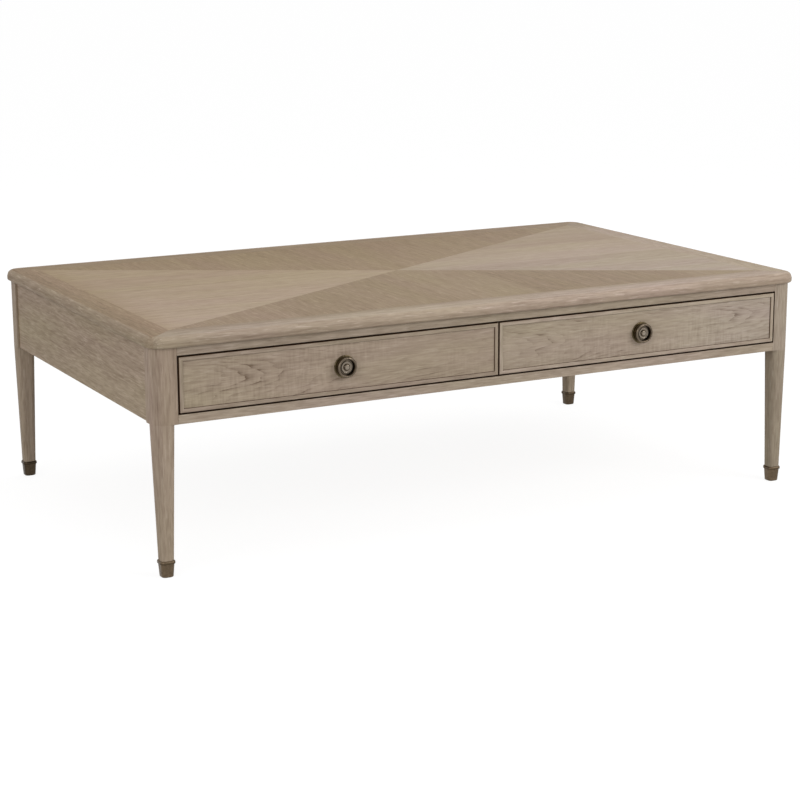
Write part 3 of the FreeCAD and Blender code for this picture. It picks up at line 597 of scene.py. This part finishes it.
def screw_tree():
    """Screws that stand on points: a head, a shank and a point in one solid, with a crossed recess."""
    name = "Screws on points"
    if name in bpy.data.node_groups:
        return bpy.data.node_groups[name]
    tree, given, put = node_group(name, "GeometryNodeTree", (
        ("Points", "Geometry", None), ("Turn", "Rotation", None), ("Face Radius", "Float", 0.004),
        ("Base Radius", "Float", 0.002), ("Head Height", "Float", 0.0026),
        ("Shank Radius", "Float", 0.002), ("Length", "Float", 0.03), ("Recess", "Float", 0.004),
        ("Material", "Material", None)), (("Screws", "Geometry"),))

    def share(label, size):
        return maths(tree, "MULTIPLY", given[size], SCREW_SHARES[label])

    def cone(low_radius, high_radius, depth, level):
        shape = add(tree, "GeometryNodeMeshCone", {
            "Vertices": SCREW_SIDES, "Radius Bottom": low_radius, "Radius Top": high_radius,
            "Depth": depth})
        lift = add(tree, "ShaderNodeCombineXYZ", {2: level}).outputs[0]
        return add(tree, "GeometryNodeTransform", {
            "Geometry": shape.outputs["Mesh"], "Translation": lift}).outputs[0]

    def joined(operation, first, *others):
        whole = add(tree, "GeometryNodeMeshBoolean", operation=operation, solver="EXACT")
        if operation == "DIFFERENCE":
            tree.links.new(first, whole.inputs["Mesh 1"])
        else:
            others = (first,) + others
        for other in others:
            tree.links.new(other, whole.inputs["Mesh 2"])
        return whole.outputs["Mesh"]

    point = share("point", "Shank Radius")
    overlap = share("overlap", "Head Height")
    shank_top = maths(tree, "SUBTRACT", given["Length"], point)
    shank_length = maths(tree, "SUBTRACT", shank_top, overlap)
    head = cone(given["Face Radius"], given["Base Radius"], given["Head Height"], 0.0)
    shank = cone(given["Shank Radius"], given["Shank Radius"], shank_length, overlap)
    tip = cone(given["Shank Radius"], share("tip", "Shank Radius"), point, shank_top)
    screw = joined("UNION", head, shank, tip)
    narrow = share("slot_width", "Recess")
    deep = share("slot_depth", "Head Height")
    bars = []
    for wide, high in ((given["Recess"], narrow), (narrow, given["Recess"])):
        extent = add(tree, "ShaderNodeCombineXYZ", {0: wide, 1: high, 2: deep}).outputs[0]
        bars.append(add(tree, "GeometryNodeMeshCube", {"Size": extent}).outputs["Mesh"])
    screw = joined("DIFFERENCE", screw, *bars)
    screws = add(tree, "GeometryNodeInstanceOnPoints", {
        "Points": given["Points"], "Instance": screw, "Rotation": given["Turn"]}).outputs[0]
    plain = add(tree, "GeometryNodeRealizeInstances", {0: screws}).outputs[0]
    painted = add(tree, "GeometryNodeSetMaterial", {"Geometry": plain, "Material": given["Material"]})
    tree.links.new(painted.outputs[0], put["Screws"])
    return tree


def grown_on_points(name, tree, points, values):
    """The plain mesh that a geometry tree makes of some points and of values for its named inputs."""
    spots = bpy.data.meshes.new(name + "_spots")
    spots.from_pydata(points, [], [])
    holder = linked(name, spots)
    modifier = holder.modifiers.new(name, "NODES")
    modifier.node_group = tree
    for item in tree.interface.items_tree:
        if item.in_out == "INPUT" and item.name in values:
            modifier[item.identifier] = values[item.name]
    graph = bpy.context.evaluated_depsgraph_get()
    mesh = bpy.data.meshes.new_from_object(holder.evaluated_get(graph), depsgraph=graph)
    mesh.name = name
    bpy.data.objects.remove(holder)
    bpy.data.meshes.remove(spots)
    return mesh


def solid_boxes(node):
    """The low and high corners of each separate solid in a carried-over piece."""
    builder = bmesh.new()
    builder.from_mesh(NODES[node].data)
    bmesh.ops.remove_doubles(builder, verts=builder.verts, dist=1e-6)
    boxes = []
    found = set()
    for first in builder.verts:
        if first in found:
            continue
        found.add(first)
        solid = [first]
        for vertex in solid:
            for edge in vertex.link_edges:
                other = edge.other_vert(vertex)
                if other not in found:
                    found.add(other)
                    solid.append(other)
        boxes.append([Vector(pick(vertex.co[axis] for vertex in solid) for axis in range(3))
                      for pick in (min, max)])
    builder.free()
    return boxes


def middle_of(node):
    low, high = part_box(node)
    return (low + high) / 2


def between_posts(node, axis):
    """A board's two corners, without the tongues or tenons that its ends hide in the posts."""
    low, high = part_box(node)
    inner = getattr(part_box("leg_back_right")[0], axis)
    setattr(low, axis, -inner)
    setattr(high, axis, inner)
    return low, high


def beyond(axis, start, fade, tint):
    """A tint on all that lies past a place on one axis, with a soft edge of some width; it serves for
    stain and for painted light and shade.
    """
    low = -FAR
    setattr(low, axis, start)
    return low, FAR, fade, tint


def short_of(axis, end, fade, tint):
    """A tint on all that lies before a place on one axis, with a soft edge of some width; it serves for
    stain and for painted light and shade.
    """
    high = FAR.copy()
    setattr(high, axis, end)
    return -FAR, high, fade, tint


def drawer_opening(depth=None):
    """The box between the posts and rails that the drawer fronts fill, with its four inner faces.

    It is as deep as the rails, or only some of that depth."""
    skin = Vector((GLAZE_AND_SHADE_FADE, 0.0, GLAZE_AND_SHADE_FADE))
    low = Vector((-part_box("leg_front_right")[0].x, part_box("front_top_rail")[0].y,
                  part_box("front_bottom_rail")[1].z))
    back = low.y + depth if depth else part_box("front_bottom_rail")[1].y
    high = Vector((-low.x, back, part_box("front_top_rail")[0].z))
    return low - skin, high + skin


class TABLE_OT_top_border(bpy.types.Operator):
    """Finish the four moulded bands round the top"""

    bl_idname = "table.top_border"
    bl_label = "Top border"

    def execute(self, context):
        boards = context.scene.table_boards
        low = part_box("top_band_left")[0]
        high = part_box("top_band_right")[1]
        inset = Vector((boards.edge_round, boards.edge_round, -boards.edge_round))
        left_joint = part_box("top_veneer_left")[0].x
        front_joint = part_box("top_veneer_front")[0].y
        left_clear = 0.016
        front_width = 0.030
        back_length = 0.14

        def flat(tint):
            """A darker tint on the flat of the bands, inside their rounded edge: partly the band's own
            stain, and it leaves the rounded edge paler as a painted sheen.
            """
            return low + inset, high - inset, boards.edge_round / 2, tint

        def foot(tint):
            """A darker tint on the moulding below the small step: painted shade on the upright lower
            part of the edge, which the light from above reaches less.
            """
            return short_of("z", high.z - boards.edge_step, boards.edge_step / 12, tint)

        # The front band grows darker towards its left end, which leaves its right end paler: a painted
        # sheen at the right end.
        sheen_falloff_left = short_of("x", end=-0.15, fade=0.45, tint=(0.93, 0.94, 0.92))
        front_shade = beyond("y", front_joint - front_width, front_width, (0.80, 0.775, 0.70))
        left_high = Vector((left_joint - left_clear, high.y, FAR.z)) - inset
        left_shade = (low + inset, left_high, 0.006, (0.87, 0.875, 0.84))
        right_rim = beyond("x", high.x - 2 * boards.edge_round, boards.edge_round, (0.75, 0.75, 0.68))
        back_end = beyond("y", high.y - back_length, fade=0.08, tint=(0.78, 0.76, 0.68))
        for node, grain, reach, tone, stains in (
                ("top_band_front", "x", (0.0, 0.21, -0.17), (1.10, 1.11, 1.20),
                 [flat((0.92, 0.91, 0.885)), foot((0.86, 0.85, 0.825)), sheen_falloff_left, front_shade]),
                ("top_band_back", "x", (0.4, -0.23, -0.15), (0.93, 0.92, 0.92),
                 [flat((0.78, 0.73, 0.61))]),
                ("top_band_left", "y", (0.20, 0.3, -0.16), (0.95, 0.955, 0.94),
                 [flat((0.85, 0.77, 0.68)), left_shade, foot((0.94, 0.94, 0.93))]),
                ("top_band_right", "y", (-0.22, -0.2, -0.18), (0.96, 0.95, 0.95),
                 [right_rim, back_end])):
            dress_oak(node, grain, reach, tone=tone, stains=stains, ring_spacing=0.0055,
                      ring_strength=0.5, waver=0.014, fibre=0.75, flecks=0.6)
        return {"FINISHED"}


class TABLE_OT_top_veneers(bpy.types.Operator):
    """Finish the four matched veneers of the top"""

    bl_idname = "table.top_veneers"
    bl_label = "Top veneers"

    def execute(self, context):
        lengthways = {"ring_spacing": 0.022, "ring_strength": 0.4, "waver": 0.06, "fibre": 0.52,
                      "pores": 0.13, "flecks": 0.18}
        crossways = {"ring_spacing": 0.009, "ring_strength": 0.3, "waver": 0.03, "fibre": 0.55,
                     "pores": 0.15, "flecks": 0.5}
        low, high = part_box("top_veneer_left")
        depth = high.y - low.y
        edge_shade = 0.06
        heartwood = beyond("y", low.y + 0.12 * depth, fade=0.6 * depth, tint=(0.83, 0.81, 0.72))
        left_edge = short_of("x", low.x + edge_shade, edge_shade, (0.90, 0.88, 0.81))
        back_edge = beyond("y", start=0.02, fade=0.42, tint=(0.88, 0.865, 0.80))
        back_half = beyond("y", start=-0.28, fade=0.43, tint=(0.85, 0.805, 0.71))
        right_half = beyond("x", start=-0.45, fade=0.55, tint=(0.875, 0.865, 0.79))
        for node, grain, reach, tone, cut, stains in (
                ("top_veneer_left", "x", (0.0, 0.75, -0.42), (1.166, 1.15, 1.155), lengthways,
                 [heartwood, left_edge]),
                ("top_veneer_right", "x", (0.0, -0.80, -0.40), (1.11, 1.14, 1.23), lengthways,
                 [back_half]),
                ("top_veneer_front", "y", (0.9, 0.0, -0.42), (0.85, 0.80, 0.735), crossways,
                 [right_half]),
                ("top_veneer_back", "y", (-0.95, 0.0, -0.40), (0.82, 0.76, 0.645), crossways,
                 [back_edge])):
            dress_oak(node, grain, reach, tone=tone, stains=stains, taper=0.008, leaf_width=0.19, **cut)
        return {"FINISHED"}


class TABLE_OT_legs(bpy.types.Operator):
    """Finish the four legs"""

    bl_idname = "table.legs"
    bl_label = "Legs"

    def execute(self, context):
        # Inside the drawer opening the posts take the dark glazing and painted shade of the gaps.
        opening = drawer_opening(context.scene.table_boards.glaze_and_shade_reach)
        apron_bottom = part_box("front_bottom_rail")[0].z
        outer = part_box("leg_front_left")[0].x
        # The front left leg's front is darker and its left face lighter, painted light as it falls on
        # the two faces; the front right leg is darker under the apron, painted shade.
        edge = 0.001
        front_low = Vector((outer + 3 * edge, -FAR.y, apron_bottom))
        front_face_shade = (front_low, FAR, edge, (0.93, 0.92, 0.90))
        left_face_light = short_of("x", outer + 2 * edge, edge, (1.09, 1.08, 1.09))
        below = short_of("z", apron_bottom, fade=0.004, tint=(0.90, 0.91, 0.87))
        # Each leg is cut from another place in the tree.
        first_reach = Vector((0.10, 0.12, 0.0))
        next_reach = Vector((0.02, -0.015, 0.3))
        # The tones also paint light: the back left leg darker, as it stands in the table's shade, and
        # the right legs cooler under the light from the right.
        for number, (corner, tone, stains) in enumerate((
                ("front_left", (0.97, 0.98, 1.02), [front_face_shade, left_face_light]),
                ("front_right", (0.955, 1.0, 1.085), [below]),
                ("back_left", (0.95, 0.97, 1.02), []),
                ("back_right", (0.98, 1.0, 1.07), []))):
            dress_oak("leg_" + corner, "z", first_reach + number * next_reach, tone=tone, stains=stains,
                      glazed=opening, ring_strength=0.35, waver=0.014, flecks=0.4)
        return {"FINISHED"}


class TABLE_OT_ferrules(bpy.types.Operator):
    """Finish the four brass cups on the feet"""

    bl_idname = "table.ferrules"
    bl_label = "Ferrules"

    def execute(self, context):
        brass = context.scene.table_brass
        # The back ferrules are darker: painted shade, as they stand in the table's shadow.
        for corner, painted_shade_scale in (
                ("front_left", 1.0), ("front_right", 1.0), ("back_left", 0.45), ("back_right", 0.65)):
            node = "ferrule_" + corner
            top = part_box(node)[1].z
            collar = top - context.scene.table_boards.collar_height
            starts, full, thins, ends = (collar + shift for shift in COLLAR_SHADE)
            cup = Vector(brass.cup) * painted_shade_scale
            dark = Vector(brass.shaded) * painted_shade_scale
            dress(node, metal(node + "_brass", from_floor, (
                (0.0, dark), (SOLE_HEIGHT, cup), (starts, cup), (full, dark), (thins, dark),
                (ends, cup), (top, cup))))
        return {"FINISHED"}


class TABLE_OT_apron(bpy.types.Operator):
    """Make the end panels, the back panel and the two front rails"""

    bl_idname = "table.apron"
    bl_label = "Apron boards"

    def execute(self, context):
        # The panels darken just under the top, a painted shadow of its overhang, and the end panels
        # darken next to the back posts, painted shade in the recess where panel meets post.
        top_shade = 0.006
        shade_under_top = beyond("z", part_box("back_panel")[1].z - top_shade, top_shade, (0.82, 0.79, 0.74))
        joint_shade = 0.008
        back_post = between_posts("end_panel_left", "y")[1].y
        back_joint_shade = beyond("y", back_post - joint_shade, fade=0.002, tint=(0.62, 0.57, 0.49))
        straight = {"ring_spacing": 0.0055, "ring_strength": 0.4, "waver": 0.014, "flecks": 0.45}
        plain_sawn = {"tone": (1.03, 1.03, 1.02), "ring_spacing": 0.007, "ring_strength": 0.4,
                      "taper": 0.03, "waver": 0.035, "flecks": 0.45}
        end_panel = {"stains": [shade_under_top, back_joint_shade], **plain_sawn}
        for node, grain, reach, cut in (
                ("end_panel_left", "y", (0.06, 0.35, 0.02), end_panel),
                ("end_panel_right", "y", (-0.06, -0.25, -0.03), end_panel),
                ("back_panel", "x", (0.2, -0.07, 0.01), {"stains": [shade_under_top], **plain_sawn}),
                ("front_top_rail", "x", (0.5, 0.16, -0.13),
                 {"tone": (0.90, 0.94, 0.975), **straight}),
                ("front_bottom_rail", "x", (-0.4, 0.14, -0.16),
                 {"tone": (1.02, 1.06, 1.13), **straight})):
            # The rails' faces inside the drawer opening take the dark glazing and painted shade of the
            # gaps.
            low, high = between_posts(node, grain)
            mesh = eased_board(node + "_board", low, high)
            new_piece(node + "_board", mesh, node, "weathered_oak",
                      oak(node + "_oak", grain, (low + high) / 2 + Vector(reach),
                          glazed=drawer_opening(), **cut))
        return {"FINISHED"}


class TABLE_OT_drawer_fronts(bpy.types.Operator):
    """Finish the two drawer fronts"""

    bl_idname = "table.drawer_fronts"
    bl_label = "Drawer fronts"

    def execute(self, context):
        # The right end of the right front is lighter and cooler, painted light from the right; the right
        # front's cooler tone partly paints that light as well.
        right_end_light = beyond("x", start=0.36, fade=0.25, tint=(1.05, 1.07, 1.14))
        # A long reach along a tapering tree picks which of its rings a front shows.
        for side, reach, tone, figure in (
                ("left", (8.49, 0.055, 0.002), (0.98, 1.005, 1.035), 1.45),
                ("right", (6.64, 0.055, 0.002), (1.02, 1.06, 1.13), 1.0)):
            dress_oak("drawer_%s_front" % side, "x", reach, tone=tone, stains=[right_end_light],
                      ring_spacing=0.0042, ring_strength=figure, taper=0.075, waver=0.035, ripple=0.75,
                      fibre=0.6, pores=0.15, flecks=0.3)
        return {"FINISHED"}


class TABLE_OT_drawer_beads(bpy.types.Operator):
    """Make the mitred bead round each drawer front"""

    bl_idname = "table.drawer_beads"
    bl_label = "Drawer beads"

    def profile(self, depth, boards):
        """Points across the bead from its outer foot to its inner foot: inset and height."""
        width = boards.bead_width
        radius = boards.bead_round
        steps = boards.bead_steps
        turns = [math.radians(90) * step / steps for step in range(steps + 1)]
        outer = [(radius * (1 - math.cos(turn)), depth - radius * (1 - math.sin(turn)))
                 for turn in turns]
        inner = [(width - inset, height) for inset, height in reversed(outer)]
        return [(0.0, 0.0)] + outer + inner + [(width, 0.0)]

    def execute(self, context):
        boards = context.scene.table_boards
        sharp = math.radians(40)
        # The tones partly paint the light from the right: the right bead lighter and cooler, the left
        # bead darker.
        for side, tone in (("left", (0.89, 0.91, 0.96)), ("right", (1.07, 1.12, 1.21))):
            node = "drawer_%s_bead" % side
            low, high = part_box(node)
            points = self.profile(high.y - low.y, boards)
            builder = bmesh.new()
            mitres = []
            for right, upper in ((0, 0), (1, 0), (1, 1), (0, 1)):
                mitres.append([builder.verts.new((
                    (high.x - inset) if right else (low.x + inset), high.y - height,
                    (high.z - inset) if upper else (low.z + inset))) for inset, height in points])
            # Each strip runs from its mitre to the next one, and the last strip ends at the first mitre.
            for strip, start in enumerate(mitres):
                end = mitres[strip - 3]
                for step in range(len(points)):
                    face = builder.faces.new((start[step - 1], start[step], end[step], end[step - 1]))
                    face.material_index = strip % 2
                    face.smooth = True
            mesh = mesh_from(builder, node + "_strips")
            mesh.set_sharp_from_angle(angle=sharp)
            middle = (low + high) / 2
            # The bead's sides, deeper than its face, take the dark glazing and painted shade of the
            # gaps; the short strips only to a shallow depth.
            deep = Vector((-FAR.x, low.y + boards.bead_glaze_and_shade, -FAR.z))
            shallow = Vector((FAR.x, deep.y + boards.glaze_and_shade_reach, FAR.z))
            cut = {"tone": tone, "ring_spacing": 0.005, "ring_strength": 0.3, "waver": 0.01}
            long_heart = middle + Vector((0.1, 0.1, 0.09))
            short_heart = middle + Vector((0.12, 0.1, 0.2))
            new_piece(node + "_strips", mesh, node, "weathered_oak",
                      oak(node + "_long", "x", long_heart, glazed=(deep, FAR), **cut),
                      oak(node + "_short", "z", short_heart, glazed=(deep, shallow), **cut))
        return {"FINISHED"}


class TABLE_OT_drawer_boxes(bpy.types.Operator):
    """Make the sides, backs, bottoms and stop cleats of the drawers"""

    bl_idname = "table.drawer_boxes"
    bl_label = "Drawer boxes"

    def execute(self, context):
        for side in SIDES:
            front_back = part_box("drawer_%s_front" % side)[1].y
            for word, grain, reach in (
                    ("inner_side", "y", (0.09, 0.4, 0.05)), ("outer_side", "y", (-0.1, 0.2, 0.06)),
                    ("back", "x", (0.3, 0.1, 0.04)), ("bottom", "x", (0.2, 0.3, -0.16)),
                    ("stop_cleat", "x", (0.1, 0.1, 0.1))):
                node = "drawer_%s_%s" % (side, word)
                low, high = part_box(node)
                low.y = max(low.y, front_back)
                mesh = eased_board(node + "_board", low, high)
                heart = (low + high) / 2 + Vector(reach)
                new_piece(node + "_board", mesh, node, "drawer_wood",
                          drawer_wood(node + "_wood", grain, heart))
        return {"FINISHED"}


class TABLE_OT_carcass(bpy.types.Operator):
    """Finish the core, partition, runners, kickers and stops that carry the drawers"""

    bl_idname = "table.carcass"
    bl_label = "Inner carcass"

    def execute(self, context):
        core_heart = middle_of("top_core") + Vector((0.3, 0.6, 0.3))
        dress("top_core", drawer_wood("top_core_wood", "x", core_heart))
        lengthways = drawer_wood("runner_wood", "y", heart=(0.13, 0.2, 0.21))
        for node in ["centre_partition"] + [
                "%s_%s_%s" % (what, where, side)
                for what in ("runner", "kicker") for where in ("inner", "outer") for side in SIDES]:
            dress(node, lengthways)
        dress("drawer_stops", drawer_wood("stop_wood", "x", heart=(0.1, -0.3, 0.25)))
        return {"FINISHED"}


class TABLE_OT_pulls(bpy.types.Operator):
    """Finish the ring pulls of the drawers"""

    bl_idname = "table.pulls"
    bl_label = "Ring pulls"

    def execute(self, context):
        brass = context.scene.table_brass
        boards = context.scene.table_boards
        low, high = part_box("pull_right_ring")
        outer = (high.x - low.x) / 2
        inner = outer - (high.y - low.y)
        low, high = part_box("pull_right_rosette")
        rim = (high.x - low.x) / 2
        boss = inner - boards.pull_groove
        knob = 0.35 * boss
        dish = 0.72 * boss
        blur = 0.10 * boss
        # Width of a line turned between two parts of a pull.
        line = 0.0004
        # The knob and the boss's rim take rubbed brass with a painted highlight; the darker band round
        # the boss is painted shade of the recess between boss and ring.
        groove = Vector(brass.rubbed) * 0.7
        rosette = metal("rosette_brass", from_pull_axis, (
            (0.0, brass.bright), (knob, brass.bright), (knob + blur, brass.rubbed),
            (dish, brass.rubbed), (dish + blur, brass.bright), (boss + line / 4, brass.bright),
            (boss + line, groove), (outer - 3 * line, groove), (outer - 2 * line, brass.flange),
            (rim, brass.flange)), roughness=(0.16, 0.30), drift=0.02)
        # The ring's inner side is dark with patina, which also paints the shade inside the ring.
        ring = metal("ring_brass", from_pull_axis, (
            (inner, brass.patina), (inner + 3 * line, brass.patina), (inner + 6.5 * line, brass.rubbed),
            (outer, brass.rubbed)), roughness=(0.14, 0.28), drift=0.1)
        for side in SIDES:
            dress("pull_%s_rosette" % side, rosette)
            dress("pull_%s_ring" % side, ring)
        return {"FINISHED"}


class TABLE_OT_screws(bpy.types.Operator):
    """Make the screws under the top, in the ferrules and behind the pulls"""

    bl_idname = "table.screws"
    bl_label = "Screws"

    def execute(self, context):
        brass = context.scene.table_brass
        boards = context.scene.table_boards
        dull = Vector(brass.steel) * 0.8
        steel = metal("screw_steel", from_floor, ((0.0, brass.steel), (CAD_BOX[1].z, dull)))
        upright = Euler((0.0, 0.0, 0.0))
        forwards = Euler((math.radians(90), 0.0, 0.0))
        sunk = (boards.screw_head, boards.screw_shank)
        domed = (boards.bolt_head * SCREW_SHARES["dome_face"], boards.bolt_head)
        recess = boards.screw_head * SCREW_SHARES["slot_length"]
        for node, turn, radii, height in (
                ("top_screws", upright, sunk, boards.screw_head_height),
                ("ferrule_screws", upright, sunk, boards.screw_head_height),
                ("pull_left_bolt", forwards, domed, boards.bolt_head_height),
                ("pull_right_bolt", forwards, domed, boards.bolt_head_height)):
            boxes = solid_boxes(node)
            low, high = boxes[0]
            length = (high.z - low.z) if turn is upright else (high.y - low.y)
            heads = []
            for low, high in boxes:
                head = (low + high) / 2
                if turn is upright:
                    head.z = low.z
                else:
                    head.y = high.y
                heads.append(head)
            mesh = grown_on_points(node + "_heads", screw_tree(), heads, {
                "Turn": turn, "Face Radius": radii[0], "Base Radius": radii[1], "Head Height": height,
                "Shank Radius": boards.screw_shank, "Length": length, "Recess": recess,
                "Material": steel})
            new_piece(node + "_turned", mesh, node, "steel")
        return {"FINISHED"}


class TABLE_OT_stage(bpy.types.Operator):
    """Make the floor, the lights, the white background and the camera"""

    bl_idname = "table.stage"
    bl_label = "Stage"

    def seen(self, tree):
        """One for a ray from the camera, or from a mirror or glass that shows the background."""
        path = add(tree, "ShaderNodeLightPath").outputs
        shiny = maths(tree, "MAXIMUM", path["Is Glossy Ray"], path["Is Transmission Ray"])
        return maths(tree, "MAXIMUM", path["Is Camera Ray"], shiny)

    def make_world(self, stage):
        world = bpy.data.worlds.new("studio")
        bpy.context.scene.world = world
        tree = cleared_tree(world)
        white = rgba((1, 1, 1))
        even = add(tree, "ShaderNodeBackground", {"Color": white, "Strength": stage.ambient})
        shown = add(tree, "ShaderNodeBackground", {"Color": white, "Strength": 1.0})
        both = add(tree, "ShaderNodeMixShader", {
            0: self.seen(tree), 1: even.outputs[0], 2: shown.outputs[0]})
        add(tree, "ShaderNodeOutputWorld", {"Surface": both.outputs[0]})

    def make_floor(self, stage):
        half = stage.floor_width / 2
        mesh = bpy.data.meshes.new("floor")
        corners = [(-half, -half, 0), (half, -half, 0), (half, half, 0), (-half, half, 0)]
        mesh.from_pydata(corners, [], [(0, 1, 2, 3)])
        floor = linked("floor", mesh)
        material = bpy.data.materials.new("pale_floor")
        tree = cleared_tree(material)
        matt = add(tree, "ShaderNodeBsdfDiffuse", {"Color": rgba([stage.floor_grey] * 3)})
        thin = add(tree, "ShaderNodeBsdfDiffuse", {"Color": rgba([stage.shadow_grey] * 3)})
        glow = add(tree, "ShaderNodeEmission", {"Color": rgba((1, 1, 1)), "Strength": stage.floor_glow})
        pale = add(tree, "ShaderNodeAddShader", {0: thin.outputs[0], 1: glow.outputs[0]})
        both = add(tree, "ShaderNodeMixShader", {
            0: self.seen(tree), 1: matt.outputs[0], 2: pale.outputs[0]})
        add(tree, "ShaderNodeOutputMaterial", {"Surface": both.outputs[0]})
        mesh.materials.append(material)

    def make_light(self, name, place, aim, width, power):
        light = bpy.data.lights.new(name, "AREA")
        light.shape = "SQUARE"
        light.size = width
        light.energy = power
        lamp = linked(name, light)
        lamp.location = place
        lamp.rotation_euler = (Vector(aim) - Vector(place)).to_track_quat("-Z", "Y").to_euler()

    def make_camera(self, stage):
        data = bpy.data.cameras.new("camera")
        data.lens = stage.camera_lens
        camera = linked("camera", data)
        camera.location = stage.camera_place
        level = Euler((math.radians(90) - stage.camera_pitch, 0, -stage.camera_yaw)).to_matrix()
        camera.rotation_euler = (level @ Matrix.Rotation(stage.camera_roll, 3, "Z")).to_euler()
        bpy.context.scene.camera = camera

    def execute(self, context):
        stage = context.scene.table_stage
        self.make_world(stage)
        self.make_floor(stage)
        for name, place, aim, width, power in (
                ("key_light", (2.1, -3.1, 2.1), (0.2, -0.4, 0.4), 2.0, stage.key_power),
                ("fill_light", (-3.4, -2.6, 1.7), (-0.6, 0.0, 0.35), 2.4, stage.fill_power),
                ("sheen_light", (3.4, 3.6, 1.25), (0.4, -0.2, 0.48), 2.0, stage.sheen_power),
                ("top_light", (0.2, 0.3, 3.6), (0.0, 0.0, 0.4), 3.0, stage.top_power)):
            self.make_light(name, place, aim, width, power)
        self.make_camera(stage)
        context.scene.view_settings.view_transform = "Standard"
        return {"FINISHED"}


OPERATORS = (
    TABLE_OT_top_border, TABLE_OT_top_veneers, TABLE_OT_legs, TABLE_OT_ferrules, TABLE_OT_apron,
    TABLE_OT_drawer_fronts, TABLE_OT_drawer_beads, TABLE_OT_drawer_boxes, TABLE_OT_carcass,
    TABLE_OT_pulls, TABLE_OT_screws, TABLE_OT_stage,
)
SETTINGS = {
    "table_oak": OakFinish, "table_brass": BrassFinish, "table_boards": BoardSizes,
    "table_stage": StageSettings,
}


class TABLE_PT_panel(bpy.types.Panel):
    """Lists the table's pieces and settings in the sidebar"""

    bl_idname = "TABLE_PT_panel"
    bl_label = "Coffee Table"
    bl_space_type = "VIEW_3D"
    bl_region_type = "UI"
    bl_category = "Coffee Table"

    def draw(self, context):
        for operator in OPERATORS:
            self.layout.operator(operator.bl_idname)
        for name, settings in SETTINGS.items():
            box = self.layout.box()
            for setting in settings.__annotations__:
                box.prop(getattr(context.scene, name), setting)


def register():
    for settings in SETTINGS.values():
        bpy.utils.register_class(settings)
    for name, settings in SETTINGS.items():
        setattr(bpy.types.Scene, name, PointerProperty(type=settings))
    for operator in OPERATORS:
        bpy.utils.register_class(operator)
    bpy.utils.register_class(TABLE_PT_panel)


def unregister():
    bpy.utils.unregister_class(TABLE_PT_panel)
    for operator in reversed(OPERATORS):
        bpy.utils.unregister_class(operator)
    for name in SETTINGS:
        delattr(bpy.types.Scene, name)
    for settings in reversed(SETTINGS.values()):
        bpy.utils.unregister_class(settings)


def main():
    register()
    for operator in OPERATORS:
        group, name = operator.bl_idname.split(".")
        getattr(getattr(bpy.ops, group), name)()


if __name__ == "__main__":
    main()
